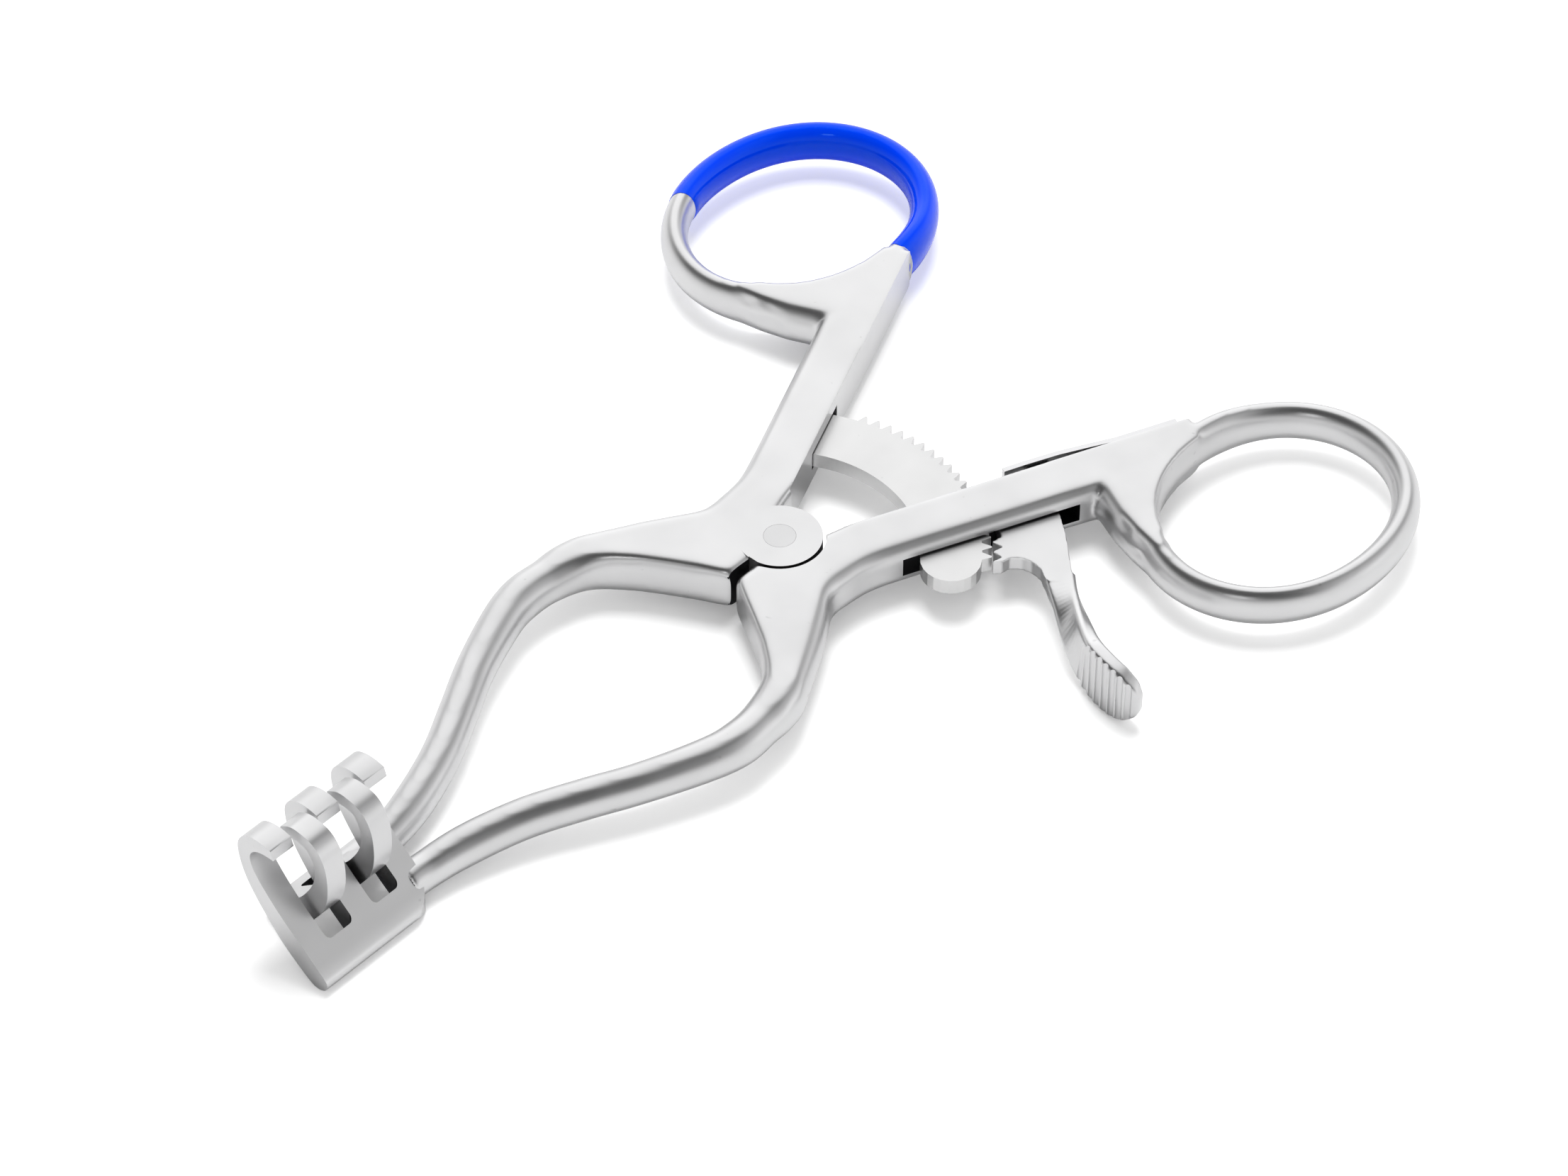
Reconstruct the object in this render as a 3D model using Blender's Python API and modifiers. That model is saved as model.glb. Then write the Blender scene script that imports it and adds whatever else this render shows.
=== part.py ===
"""Self retaining retractor: two lap-jointed ring-handled arms with interleaving
hooked blades, a curved ratchet rack, a sprung pawl lever and a coated finger ring.

Frame: metres, +Z up. The main pivot is the Z axis, z = 0 is the flat underside of
the arms, +X points to the finger rings and +Y to the upper arm.
"""
import math

import bmesh
import bpy
from mathutils import Matrix, Vector

MM = 0.001

# Arms, shared by both sides
ARM_THICKNESS = 5.4 * MM
SHANK_ANGLE = math.radians(23.3)
SHANK_INNER_OFFSET = 1.36 * MM
SHANK_WIDTH = 5.25 * MM
SHANK_END = 46.5 * MM
EDGE_RADIUS = 1.3 * MM
INNER_EDGE_RADIUS = 0.3 * MM
NOTCH_HALF_GAP = 1.1 * MM
ELBOW_DIAMETER = 4.7 * MM
BAR_DIAMETER = 4.2 * MM
BAR_TIP_DIAMETER = 3.9 * MM
BAR_TIP_HEIGHT = 0.65 * MM
BAR_TIP_OFFSET = 2.9 * MM
BAR_ROUNDING = 0.95
LOFT_STEPS = 2
CORNER_STEPS = 3

# Lap joint and pivot screw
BOSS_RADIUS = 4.5 * MM
BOSS_CLEARANCE = 0.4 * MM
BOSS_SET_BACK = 0.02 * MM
LAP_GAP = 0.3 * MM
SCREW_RADIUS = 1.2 * MM
SCREW_HEAD_RADIUS = 1.7 * MM
SCREW_HEAD_HEIGHT = 1.0 * MM
PIN_CLEARANCE = 0.08 * MM

# Finger rings
RING_MEAN_RADIUS = 13.7 * MM
RING_CENTRE_X = RING_MEAN_RADIUS + 26.25 * MM
RING_CENTRE_Y = RING_MEAN_RADIUS + 20.05 * MM
RING_OVALNESS = 1.13 * MM
RING_WIDTH = 3.1 * MM
RING_HEIGHT = 4.6 * MM
RING_STEPS = 48
RING_MID_HEIGHT = 2.55 * MM
RING_HOLE_TRIM = 0.35 * MM
KNUCKLE_TRIM = 0.05 * MM

# Coloured coating round the far side of the upper arm's ring
COATING_START = math.radians(-80.0)
COATING_END = math.radians(122.0)
COATING_THICKNESS = 0.35 * MM
COATING_GAP = 0.1 * MM
COATING_STEPS = 28
COATING_TRIM = math.radians(2.0)

# Blades: the upper and lower profile of a hook, y away from the arm's own side
BLADE_END = -71.7 * MM
PRONG_WIDTH = 2.75 * MM
PRONG_PITCH = 6.3 * MM
LOWER_PRONGS = 3
UPPER_PRONGS = 2
PRONG_SIDE_GAP = 0.55 * MM
WINDOW_START = 3.6 * MM
WINDOW_REACH = 12.0 * MM
WINDOW_BOTTOM = -5.0 * MM
WINDOW_TOP = 20.0 * MM
BLADE_OVERLAP = 1.5 * MM

# Ratchet rack
RACK_TIP_RADIUS = 22.0 * MM
RACK_WIDTH = 7.4 * MM
RACK_INNER_RADIUS = RACK_TIP_RADIUS - RACK_WIDTH
RACK_THICKNESS = 1.8 * MM
RACK_TOOTH_PITCH = math.radians(3.81)
RACK_TOOTH_DEPTH = 1.0 * MM
RACK_FIRST_TOOTH = math.radians(17.8)
RACK_TEETH = 19
RACK_ROOT_ANGLE = math.radians(37.0)
RACK_END_ANGLE = math.radians(-52.9)
RACK_END_STEPS = 12
RACK_RIVET_ANGLE = math.radians(32.4)
RACK_SEAT_START = math.radians(18.0)
RACK_SEAT_ROOM = math.radians(1.0)
RIVET_RADIUS = 0.8 * MM
SLOT_GAP = 0.25 * MM
SLOT_END_ROOM = 0.35 * MM

# Slot through the lower arm's shank, measured along the shank from the pivot
SLOT_START = RACK_INNER_RADIUS - 3.8 * MM
SLOT_STOP = RACK_TIP_RADIUS + 9.2 * MM

# Pawl lever, which stands just outside the rack and follows its radius
PAWL_TIP_RADIUS = RACK_TIP_RADIUS + 0.3 * MM
PAWL_BACK_RADIUS = RACK_TIP_RADIUS + 0.9 * MM
PAWL_PIN_ALONG = RACK_TIP_RADIUS + 2.3 * MM
PAWL_PIN_RADIUS = 0.8 * MM
PAWL_TOOTH_COUNT = 3
PAWL_TOOTH_DEPTH = 0.8 * MM
PAWL_NOSE_ANGLE = math.radians(-52.6)
PAWL_BACK_ANGLES = (math.radians(-27.5), math.radians(-40.0))
PAD_HEIGHT = 7.1 * MM
PAD_THICKNESS = 1.9 * MM
PAD_ROUNDING = 0.3
PAD_GROOVES = 7
PAD_GROOVE_PITCH = 1.2 * MM
PAD_GROOVE_RADIUS = 0.34 * MM
PAD_FIRST_GROOVE = 0.8 * MM

# Leaf spring
SPRING_THICKNESS = 0.6 * MM
SPRING_HEIGHT = 4.5 * MM
SPRING_SEAT_GAP = 0.3 * MM
SPRING_SCREW_ALONG = 42.0 * MM
SPRING_ROOT = 45.6 * MM
SPRING_TIP = PAWL_PIN_ALONG + 1.3 * MM
SPRING_SCREW_RADIUS = 0.8 * MM
SPRING_SCREW_DEPTH = 2.9 * MM
SPRING_HEAD_RADIUS = 1.5 * MM
SPRING_HEAD_HEIGHT = 0.9 * MM

MID_HEIGHT = ARM_THICKNESS / 2
UPPER = 1
LOWER = -1
OVERSHOOT = 2 * MM
BOSS_SIDES = 64
HOLE_SIDES = 32
SMALL_HOLE_SIDES = 24

# Shares of a tooth's pitch: front flank, half the flat tip, back flank
TOOTH_FRONT = 0.42
TOOTH_FLAT = 0.07
TOOTH_BACK = 0.36

STEEL = (0.74, 0.75, 0.76)
BRIGHT_STEEL = (0.78, 0.78, 0.79)
SPRING_STEEL = (0.62, 0.63, 0.65)
COATING_BLUE = (0.0, 0.07, 0.85)


def clear_scene():
    for item in list(bpy.data.objects):
        bpy.data.objects.remove(item, do_unlink=True)


def new_collection(name):
    collection = bpy.data.collections.new(name)
    bpy.context.scene.collection.children.link(collection)
    return collection


def new_material(name, colour, metallic, roughness):
    material = bpy.data.materials.new(name)
    material.use_nodes = True
    shader = material.node_tree.nodes["Principled BSDF"]
    shader.inputs["Base Color"].default_value = (*colour, 1)
    shader.inputs["Metallic"].default_value = metallic
    shader.inputs["Roughness"].default_value = roughness
    material.diffuse_color = (*colour, 1)
    return material


def add_mesh(name, bm, collection):
    """Turn a bmesh into an object with its faces pointing out."""
    bmesh.ops.recalc_face_normals(bm, faces=bm.faces)
    mesh = bpy.data.meshes.new(name)
    bm.to_mesh(mesh)
    bm.free()
    item = bpy.data.objects.new(name, mesh)
    collection.objects.link(item)
    return item


def curve_to_mesh(curve, name, collection, height_scale=1.0, mid_height=0.0):
    """Evaluate a curve, weld its caps and keep it as a mesh object."""
    holder = bpy.data.objects.new(name + "_curve", curve)
    bpy.context.scene.collection.objects.link(holder)
    graph = bpy.context.evaluated_depsgraph_get()
    mesh = bpy.data.meshes.new_from_object(holder.evaluated_get(graph))
    bm = bmesh.new()
    bm.from_mesh(mesh)
    bmesh.ops.remove_doubles(bm, verts=bm.verts, dist=0.00001)
    for vert in bm.verts:
        vert.co.z = mid_height + vert.co.z * height_scale
    bpy.data.objects.remove(holder, do_unlink=True)
    bpy.data.meshes.remove(mesh)
    return add_mesh(name, bm, collection)


def prism(name, outline, low, high, collection):
    """A flat outline in XY, extruded from one height to another."""
    curve = bpy.data.curves.new(name, "CURVE")
    curve.dimensions = "2D"
    curve.fill_mode = "BOTH"
    curve.extrude = (high - low) / 2
    spline = curve.splines.new("POLY")
    spline.points.add(len(outline) - 1)
    for point, (x, y) in zip(spline.points, outline):
        point.co = (x, y, 0, 1)
    spline.use_cyclic_u = True
    return curve_to_mesh(curve, name, collection, 1.0, (high + low) / 2)


def tube(name, points, radius, closed, collection, height_scale, mid_height):
    """A bevelled wire through points in XY, with an oval section."""
    curve = bpy.data.curves.new(name, "CURVE")
    curve.dimensions = "3D"
    curve.bevel_depth = radius
    curve.bevel_resolution = 3
    curve.use_fill_caps = True
    spline = curve.splines.new("POLY")
    spline.points.add(len(points) - 1)
    for point, (x, y) in zip(spline.points, points):
        point.co = (x, y, 0, 1)
    spline.use_cyclic_u = closed
    return curve_to_mesh(curve, name, collection, height_scale, mid_height)


def cylinder(name, radius, start, stop, collection, sides=HOLE_SIDES):
    """A cylinder between two points."""
    axis = Vector(stop) - Vector(start)
    bm = bmesh.new()
    bmesh.ops.create_cone(bm, cap_ends=True, segments=sides, radius1=radius,
                          radius2=radius, depth=axis.length)
    turn = axis.to_track_quat("Z", "Y").to_matrix().to_4x4()
    place = Matrix.Translation((Vector(start) + Vector(stop)) / 2) @ turn
    bmesh.ops.transform(bm, matrix=place, verts=bm.verts)
    return add_mesh(name, bm, collection)


def box(name, low, high, collection):
    """A box from its lowest and highest corners."""
    bm = bmesh.new()
    bmesh.ops.create_cube(bm, size=1)
    size = Vector(high) - Vector(low)
    place = Matrix.Translation((Vector(low) + Vector(high)) / 2)
    bmesh.ops.transform(bm, matrix=place @ Matrix.Diagonal((*size, 1)), verts=bm.verts)
    return add_mesh(name, bm, collection)


def turned(name, profile, start, axis, collection):
    """A profile of (radius, height) from the top of the axis down, spun by Screw."""
    mesh = bpy.data.meshes.new(name)
    edges = [(i, i + 1) for i in range(len(profile) - 1)]
    mesh.from_pydata([(r, 0, z) for r, z in profile], edges, [])
    item = bpy.data.objects.new(name, mesh)
    collection.objects.link(item)
    item.location = start
    item.rotation_euler = Vector(axis).to_track_quat("Z", "Y").to_euler()
    spin = item.modifiers.new("spin", "SCREW")
    spin.steps = HOLE_SIDES
    spin.render_steps = HOLE_SIDES
    spin.use_merge_vertices = True
    spin.merge_threshold = 0.00001
    return item


def combine(target, other, operation):
    """Add an exact Boolean that joins or cuts the target."""
    step = target.modifiers.new(other.name, "BOOLEAN")
    step.operation = operation
    step.solver = "EXACT"
    step.object = other


def smooth(item, angle=35):
    """Smooth shading with the crisp edges kept."""
    item.data.shade_smooth()
    item.data.set_sharp_from_angle(angle=math.radians(angle))


def set_origin(item, point):
    """Move an object's origin without moving its shape."""
    item.data.transform(Matrix.Translation(-Vector(point)))
    item.location = point


def finish(item, material):
    item.data.materials.clear()
    item.data.materials.append(material)
    smooth(item)
    return item


def polar(radius, angle):
    return (radius * math.cos(angle), radius * math.sin(angle))


def arc(radius, first, last, count):
    """Points on an arc about the pivot."""
    step = (last - first) / (count - 1)
    return [polar(radius, first + step * i) for i in range(count)]


def shank_point(along, offset, side=UPPER):
    """A point given along the shank and out from the line through the pivot."""
    x = along * math.cos(SHANK_ANGLE) - offset * math.sin(SHANK_ANGLE)
    y = along * math.sin(SHANK_ANGLE) + offset * math.cos(SHANK_ANGLE)
    return Vector((x, side * y))


def ring_radius(angle):
    return RING_MEAN_RADIUS + RING_OVALNESS * math.cos(2 * angle)


def ring_points(side, first, last, count, shift=0.0):
    """Points round a finger ring's centreline, or at a radial shift from it."""
    points = []
    for i in range(count):
        angle = first + (last - first) * i / count
        radius = ring_radius(angle) + shift
        x = RING_CENTRE_X + radius * math.cos(angle)
        y = RING_CENTRE_Y + radius * math.sin(angle)
        points.append((x, side * y))
    return points


def section(inner, outer, height, mid, inner_radius, outer_radius):
    """A rounded rectangle standing on the line from the inner to the outer point."""
    across = outer - inner
    width = across.length
    across = across / width
    corners = [
        (width - outer_radius, height / 2 - outer_radius, outer_radius, 0.0),
        (inner_radius, height / 2 - inner_radius, inner_radius, 0.5 * math.pi),
        (inner_radius, inner_radius - height / 2, inner_radius, math.pi),
        (width - outer_radius, outer_radius - height / 2, outer_radius, 1.5 * math.pi),
    ]
    points = []
    for u, v, radius, start in corners:
        for i in range(CORNER_STEPS + 1):
            angle = start + 0.5 * math.pi * i / CORNER_STEPS
            place = inner + across * (u + radius * math.cos(angle))
            points.append(Vector((place.x, place.y, mid + v + radius * math.sin(angle))))
    return points


def catmull(a, b, c, d, t):
    """A smooth step from b to c, led by their neighbours."""
    line = 2 * b + (c - a) * t
    square = (2 * a - 5 * b + 4 * c - d) * t * t
    cube = (3 * b - a - 3 * c + d) * t * t * t
    return (line + square + cube) * 0.5


def loft(name, sections, collection):
    """Skin a row of like sections and close both ends."""
    bm = bmesh.new()
    rows = [[bm.verts.new(p) for p in points] for points in sections]
    for first, second in zip(rows, rows[1:]):
        for i in range(len(first)):
            j = (i + 1) % len(first)
            bm.faces.new((first[i], first[j], second[j], second[i]))
    bm.faces.new(rows[0])
    bm.faces.new(list(reversed(rows[-1])))
    return add_mesh(name, bm, collection)


def outline_stations():
    """Edge stations of an arm from the ring web to the elbow.

    Each holds the inner and outer outline points, height and both edge radii.
    """
    inner = SHANK_INNER_OFFSET
    outer = SHANK_INNER_OFFSET + SHANK_WIDTH
    rows = []

    def along(near, far, offset):
        rows.append((shank_point(near, inner), shank_point(far, offset),
                     ARM_THICKNESS, INNER_EDGE_RADIUS, EDGE_RADIUS))

    def plan(near, far, near_radius, far_radius, height=ARM_THICKNESS):
        rows.append((Vector(near) * MM, Vector(far) * MM, height,
                     near_radius * MM, far_radius * MM))

    along(SHANK_END, SHANK_END - 0.8 * MM, 5.4 * MM)
    along(43.0 * MM, 42.0 * MM, 8.0 * MM)
    along(39.5 * MM, 39.5 * MM, 11.0 * MM)
    along(36.8 * MM, 36.6 * MM, 13.5 * MM)
    along(34.9 * MM, 34.6 * MM, 12.6 * MM)
    along(33.6 * MM, 33.3 * MM, 8.8 * MM)
    along(32.0 * MM, 31.6 * MM, outer + 0.4 * MM)
    along(30.0 * MM, 29.6 * MM, outer)
    along(21.0 * MM, 20.6 * MM, outer)
    along(12.5 * MM, 11.8 * MM, outer)
    along(8.5 * MM, 7.4 * MM, outer + 0.5 * MM)
    gap = NOTCH_HALF_GAP / MM
    plan((3.2, 2.9), (1.5, 8.6), 0.3, 1.3)
    plan((-1.5, gap), (-2.0, 8.8), 0.3, 1.3)
    plan((-5.0, gap), (-4.7, 10.0), 0.3, 1.4)
    plan((-7.0, gap), (-6.9, 11.3), 0.3, 1.5)
    plan((-7.8, 1.6), (-8.2, 12.1), 0.3, 1.6)
    plan((-9.0, 3.5), (-9.9, 13.1), 0.5, 1.7)
    plan((-11.0, 6.8), (-12.2, 14.5), 0.9, 1.9)
    plan((-12.9, 9.5), (-14.3, 15.8), 1.3, 2.1)
    plan((-15.6, 11.9), (-16.9, 16.9), 2.0, 2.3, 5.1 * MM)
    return rows


def bar_stations():
    """Centre, diameter and height of the round jaw bar, from elbow to blade."""
    rows = [
        (-19.3, 15.1, ELBOW_DIAMETER, 2.65),
        (-22.6, 15.3, ELBOW_DIAMETER, 2.6),
        (-26.3, 14.5, (ELBOW_DIAMETER + BAR_DIAMETER) / 2, 2.55),
        (-33.0, 11.75, BAR_DIAMETER, 2.4),
        (-38.5, 8.8, BAR_DIAMETER, 2.1),
        (-44.0, 6.0, BAR_DIAMETER, 1.7),
        (-50.0, 3.95, BAR_DIAMETER, 1.15),
        (-55.0, 3.05, BAR_TIP_DIAMETER, 0.75),
    ]
    return [(Vector((x, y)) * MM, size, z * MM) for x, y, size, z in rows]


def arm_sections(side, blade_start):
    """Smooth sections of one arm, ending inside its blade."""
    rows = []
    for near, far, height, near_radius, far_radius in outline_stations():
        rows.append((near, far, (height, MID_HEIGHT, near_radius, far_radius)))
    bars = bar_stations()
    size = bars[-1][1]
    bars.append((Vector((blade_start, BAR_TIP_OFFSET)), size, BAR_TIP_HEIGHT))
    for i, (centre, size, mid) in enumerate(bars):
        before = bars[max(i - 1, 0)][0]
        after = bars[min(i + 1, len(bars) - 1)][0]
        forward = (after - before).normalized()
        across = Vector((forward.y, -forward.x)) * size / 2
        edge = size / 2 * BAR_ROUNDING
        rows.append((centre - across, centre + across, (size, mid, edge, edge)))
    sections = []
    for i in range(len(rows) - 1):
        a = rows[max(i - 1, 0)]
        b = rows[i]
        c = rows[i + 1]
        d = rows[min(i + 2, len(rows) - 1)]
        last = i == len(rows) - 2
        for k in range(LOFT_STEPS + last):
            t = k / LOFT_STEPS
            near = catmull(a[0], b[0], c[0], d[0], t)
            far = catmull(a[1], b[1], c[1], d[1], t)
            height, mid, near_radius, far_radius = [p + (q - p) * t for p, q in zip(b[2], c[2])]
            points = section(near, far, height, mid, near_radius, far_radius)
            sections.append([Vector((p.x, side * p.y, p.z)) for p in points])
    return sections


def blade_profile():
    """Closed outline of a hooked prong in (y, z), rising away from the arm's side."""
    outside = [(-5.8, -0.8), (-5.2, -1.5), (-4.3, -1.7), (-2.8, -0.85), (-0.1, 1.35),
               (1.7, 3.4), (3.2, 5.35), (4.4, 7.3), (5.1, 9.2), (5.4, 11.0), (5.2, 12.4),
               (4.4, 13.5), (3.1, 14.1), (1.8, 14.2), (0.6, 14.0)]
    inside = [(0.3, 12.9), (1.6, 12.8), (2.8, 12.4), (3.6, 11.5), (3.7, 10.4),
              (3.3, 9.3), (2.4, 8.0), (1.1, 6.5), (-0.6, 4.8), (-2.6, 2.95),
              (-4.1, 1.7), (-5.1, 0.9), (-5.6, 0.2)]
    return [(y * MM, z * MM) for y, z in outside + inside]


def blade(name, side, low, high, collection):
    """The whole plate of a blade, before its windows are cut."""
    plate = prism(name, blade_profile(), low, high, collection)
    stand = Matrix(((0, 0, 1, 0), (-side, 0, 0, 0), (0, 1, 0, 0), (0, 0, 0, 1)))
    plate.data.transform(stand)
    if side == UPPER:
        plate.data.flip_normals()
    return plate


def prong_starts(count):
    """Lowest x of each prong; the upper arm's stand in the lower arm's windows."""
    if count == LOWER_PRONGS:
        return [BLADE_END + i * PRONG_PITCH for i in range(count)]
    first = BLADE_END + PRONG_WIDTH + PRONG_SIDE_GAP
    return [first + i * PRONG_PITCH for i in range(count)]


def prong_width(count):
    window = PRONG_PITCH - PRONG_WIDTH
    return PRONG_WIDTH if count == LOWER_PRONGS else window - 2 * PRONG_SIDE_GAP


def add_blade(arm, side, count, cutters):
    """Join a blade to an arm and cut the windows between its prongs."""
    starts = prong_starts(count)
    width = prong_width(count)
    name = arm.name
    plate = blade(name + "_blade", side, starts[0], starts[-1] + width, cutters)
    combine(arm, plate, "UNION")
    for i in range(count - 1):
        near = side * WINDOW_START
        far = -side * WINDOW_REACH
        low = (starts[i] + width, min(near, far), WINDOW_BOTTOM)
        high = (starts[i + 1], max(near, far), WINDOW_TOP)
        combine(arm, box(f"{name}_window_{i + 1}", low, high, cutters), "DIFFERENCE")


def add_ring(arm, side, cutters):
    """Open the web inside the ring, then join the ring and its knuckle."""
    full = 2 * math.pi
    name = arm.name
    opening = ring_points(side, 0, full, RING_STEPS, RING_HOLE_TRIM - RING_WIDTH / 2)
    combine(arm, prism(name + "_ring_hole", opening, -OVERSHOOT, ARM_THICKNESS + OVERSHOOT,
                       cutters), "DIFFERENCE")
    oval = RING_HEIGHT / RING_WIDTH
    loop = ring_points(side, 0, full, RING_STEPS)
    combine(arm, tube(name + "_ring", loop, RING_WIDTH / 2, True, cutters, oval,
                      RING_MID_HEIGHT), "UNION")
    path = [(25.95, 29.8), (26.5, 26.6), (27.3, 23.6), (28.4, 20.9), (29.9, 18.6)]
    knuckle = [(x * MM, side * y * MM) for x, y in path]
    combine(arm, tube(name + "_knuckle", knuckle, RING_WIDTH / 2 - KNUCKLE_TRIM, False,
                      cutters, oval, RING_MID_HEIGHT), "UNION")


def add_boss(arm, side, cutters):
    """Half-lap the arm round the pivot and drill it for the screw."""
    name = arm.name
    top = ARM_THICKNESS
    if side == UPPER:
        recess = (-OVERSHOOT, MID_HEIGHT + LAP_GAP / 2)
        disc = (MID_HEIGHT + LAP_GAP / 2, top - BOSS_SET_BACK)
        head = (top - SCREW_HEAD_HEIGHT, top + OVERSHOOT)
    else:
        recess = (MID_HEIGHT - LAP_GAP / 2, top + OVERSHOOT)
        disc = (BOSS_SET_BACK, MID_HEIGHT - LAP_GAP / 2)
        head = (-OVERSHOOT, SCREW_HEAD_HEIGHT)
    parts = [
        ("recess", BOSS_RADIUS + BOSS_CLEARANCE, recess, "DIFFERENCE"),
        ("disc", BOSS_RADIUS, disc, "UNION"),
        ("bore", SCREW_RADIUS + PIN_CLEARANCE, (-OVERSHOOT, top + OVERSHOOT), "DIFFERENCE"),
        ("sink", SCREW_HEAD_RADIUS + PIN_CLEARANCE, head, "DIFFERENCE"),
    ]
    for label, radius, (low, high), operation in parts:
        sides = HOLE_SIDES if radius < BOSS_RADIUS else BOSS_SIDES
        item = cylinder(f"{name}_{label}", radius, (0, 0, low), (0, 0, high), cutters, sides)
        combine(arm, item, operation)


def new_arm(name, side, count, parts, cutters):
    """One forged arm: ring, shank, half-lapped boss, jaw bar and hooked blade."""
    end = prong_starts(count)[-1] + prong_width(count) - BLADE_OVERLAP
    arm = loft(name, arm_sections(side, end), parts)
    add_boss(arm, side, cutters)
    add_ring(arm, side, cutters)
    add_blade(arm, side, count, cutters)
    return arm


def sector(name, inner, outer, first, last, low, high, collection, count=24):
    """A flat piece of a ring about the pivot."""
    outline = arc(outer, first, last, count) + arc(inner, last, first, count)
    return prism(name, outline, low, high, collection)


def rack_outline():
    """Ratchet rack: saw teeth outside, a plain inner arc and a full round end."""
    root = RACK_TIP_RADIUS - RACK_TOOTH_DEPTH
    outline = arc(root, RACK_ROOT_ANGLE, RACK_FIRST_TOOTH + RACK_TOOTH_PITCH, 8)
    for i in range(RACK_TEETH):
        tip = RACK_FIRST_TOOTH - i * RACK_TOOTH_PITCH
        outline.append(polar(root, tip + TOOTH_FRONT * RACK_TOOTH_PITCH))
        outline.append(polar(RACK_TIP_RADIUS, tip + TOOTH_FLAT * RACK_TOOTH_PITCH))
        outline.append(polar(RACK_TIP_RADIUS, tip - TOOTH_FLAT * RACK_TOOTH_PITCH))
        outline.append(polar(root, tip - TOOTH_BACK * RACK_TOOTH_PITCH))
    middle = (root + RACK_INNER_RADIUS) / 2
    end_radius = (root - RACK_INNER_RADIUS) / 2
    centre = Vector(polar(middle, RACK_END_ANGLE))
    for i in range(RACK_END_STEPS + 1):
        angle = RACK_END_ANGLE - math.pi * i / RACK_END_STEPS
        outline.append(tuple(centre + Vector(polar(end_radius, angle))))
    outline += arc(RACK_INNER_RADIUS, RACK_END_ANGLE, RACK_ROOT_ANGLE, 40)[1:]
    return outline


def rack_heights(extra=0.0):
    """Lowest and highest z of the rack, or of a slot with some room round it."""
    half = RACK_THICKNESS / 2 + extra
    return MID_HEIGHT - half, MID_HEIGHT + half


def cut_rack_seat(arm, cutters):
    """Slot in the upper arm's inner face for the rack's root, and its rivet hole."""
    low, high = rack_heights(SLOT_GAP)
    seat = sector("upper_arm_rack_seat", RACK_INNER_RADIUS - SLOT_END_ROOM,
                  RACK_TIP_RADIUS + SLOT_END_ROOM, RACK_SEAT_START,
                  RACK_ROOT_ANGLE + RACK_SEAT_ROOM, low, high, cutters)
    combine(arm, seat, "DIFFERENCE")
    combine(arm, rivet_solid("upper_arm_rivet_hole", PIN_CLEARANCE, OVERSHOOT, cutters),
            "DIFFERENCE")


def rivet_solid(name, clearance, overshoot, collection):
    x, y = polar((RACK_INNER_RADIUS + RACK_TIP_RADIUS) / 2, RACK_RIVET_ANGLE)
    return cylinder(name, RIVET_RADIUS + clearance, (x, y, -overshoot),
                    (x, y, ARM_THICKNESS + overshoot), collection)


def pawl_pin_place():
    middle = (SHANK_INNER_OFFSET * 2 + SHANK_WIDTH) / 2
    return shank_point(PAWL_PIN_ALONG, middle, LOWER)


def pawl_pin_solid(name, clearance, overshoot, collection):
    x, y = pawl_pin_place()
    return cylinder(name, PAWL_PIN_RADIUS + clearance, (x, y, -overshoot),
                    (x, y, ARM_THICKNESS + overshoot), collection)


def cut_slot(arm, cutters):
    """Slot right through the lower arm's shank for the rack and the pawl."""
    low, high = rack_heights(SLOT_GAP)
    near = SHANK_INNER_OFFSET - OVERSHOOT
    far = SHANK_INNER_OFFSET + SHANK_WIDTH + OVERSHOOT
    corners = [(SLOT_START, near), (SLOT_STOP, near), (SLOT_STOP, far), (SLOT_START, far)]
    outline = [tuple(shank_point(s, t, LOWER)) for s, t in corners]
    combine(arm, prism("lower_arm_slot", outline, low, high, cutters), "DIFFERENCE")
    combine(arm, pawl_pin_solid("lower_arm_pin_hole", PIN_CLEARANCE, OVERSHOOT, cutters),
            "DIFFERENCE")
    screw = spring_screw_axis()
    hole = cylinder("lower_arm_screw_hole", SPRING_SCREW_RADIUS + PIN_CLEARANCE,
                    screw(-OVERSHOOT), screw(SPRING_SCREW_DEPTH + LAP_GAP), cutters,
                    SMALL_HOLE_SIDES)
    combine(arm, hole, "DIFFERENCE")


def spring_screw_axis():
    """Points on the spring screw's axis, by depth below the shank's inner wall."""
    def place(depth):
        x, y = shank_point(SPRING_SCREW_ALONG, SHANK_INNER_OFFSET + depth, LOWER)
        return Vector((x, y, MID_HEIGHT))
    return place


def pawl_places(points):
    """Places on the pawl, given in tooth tip radii from the pivot."""
    return [(x * PAWL_TIP_RADIUS, y * PAWL_TIP_RADIUS) for x, y in points]


def beside_pin(points):
    """Places on the pawl in mm: along the shank from its pin, out from the pivot line."""
    return [tuple(shank_point(PAWL_PIN_ALONG + s * MM, t * MM, LOWER)) for s, t in points]


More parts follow.
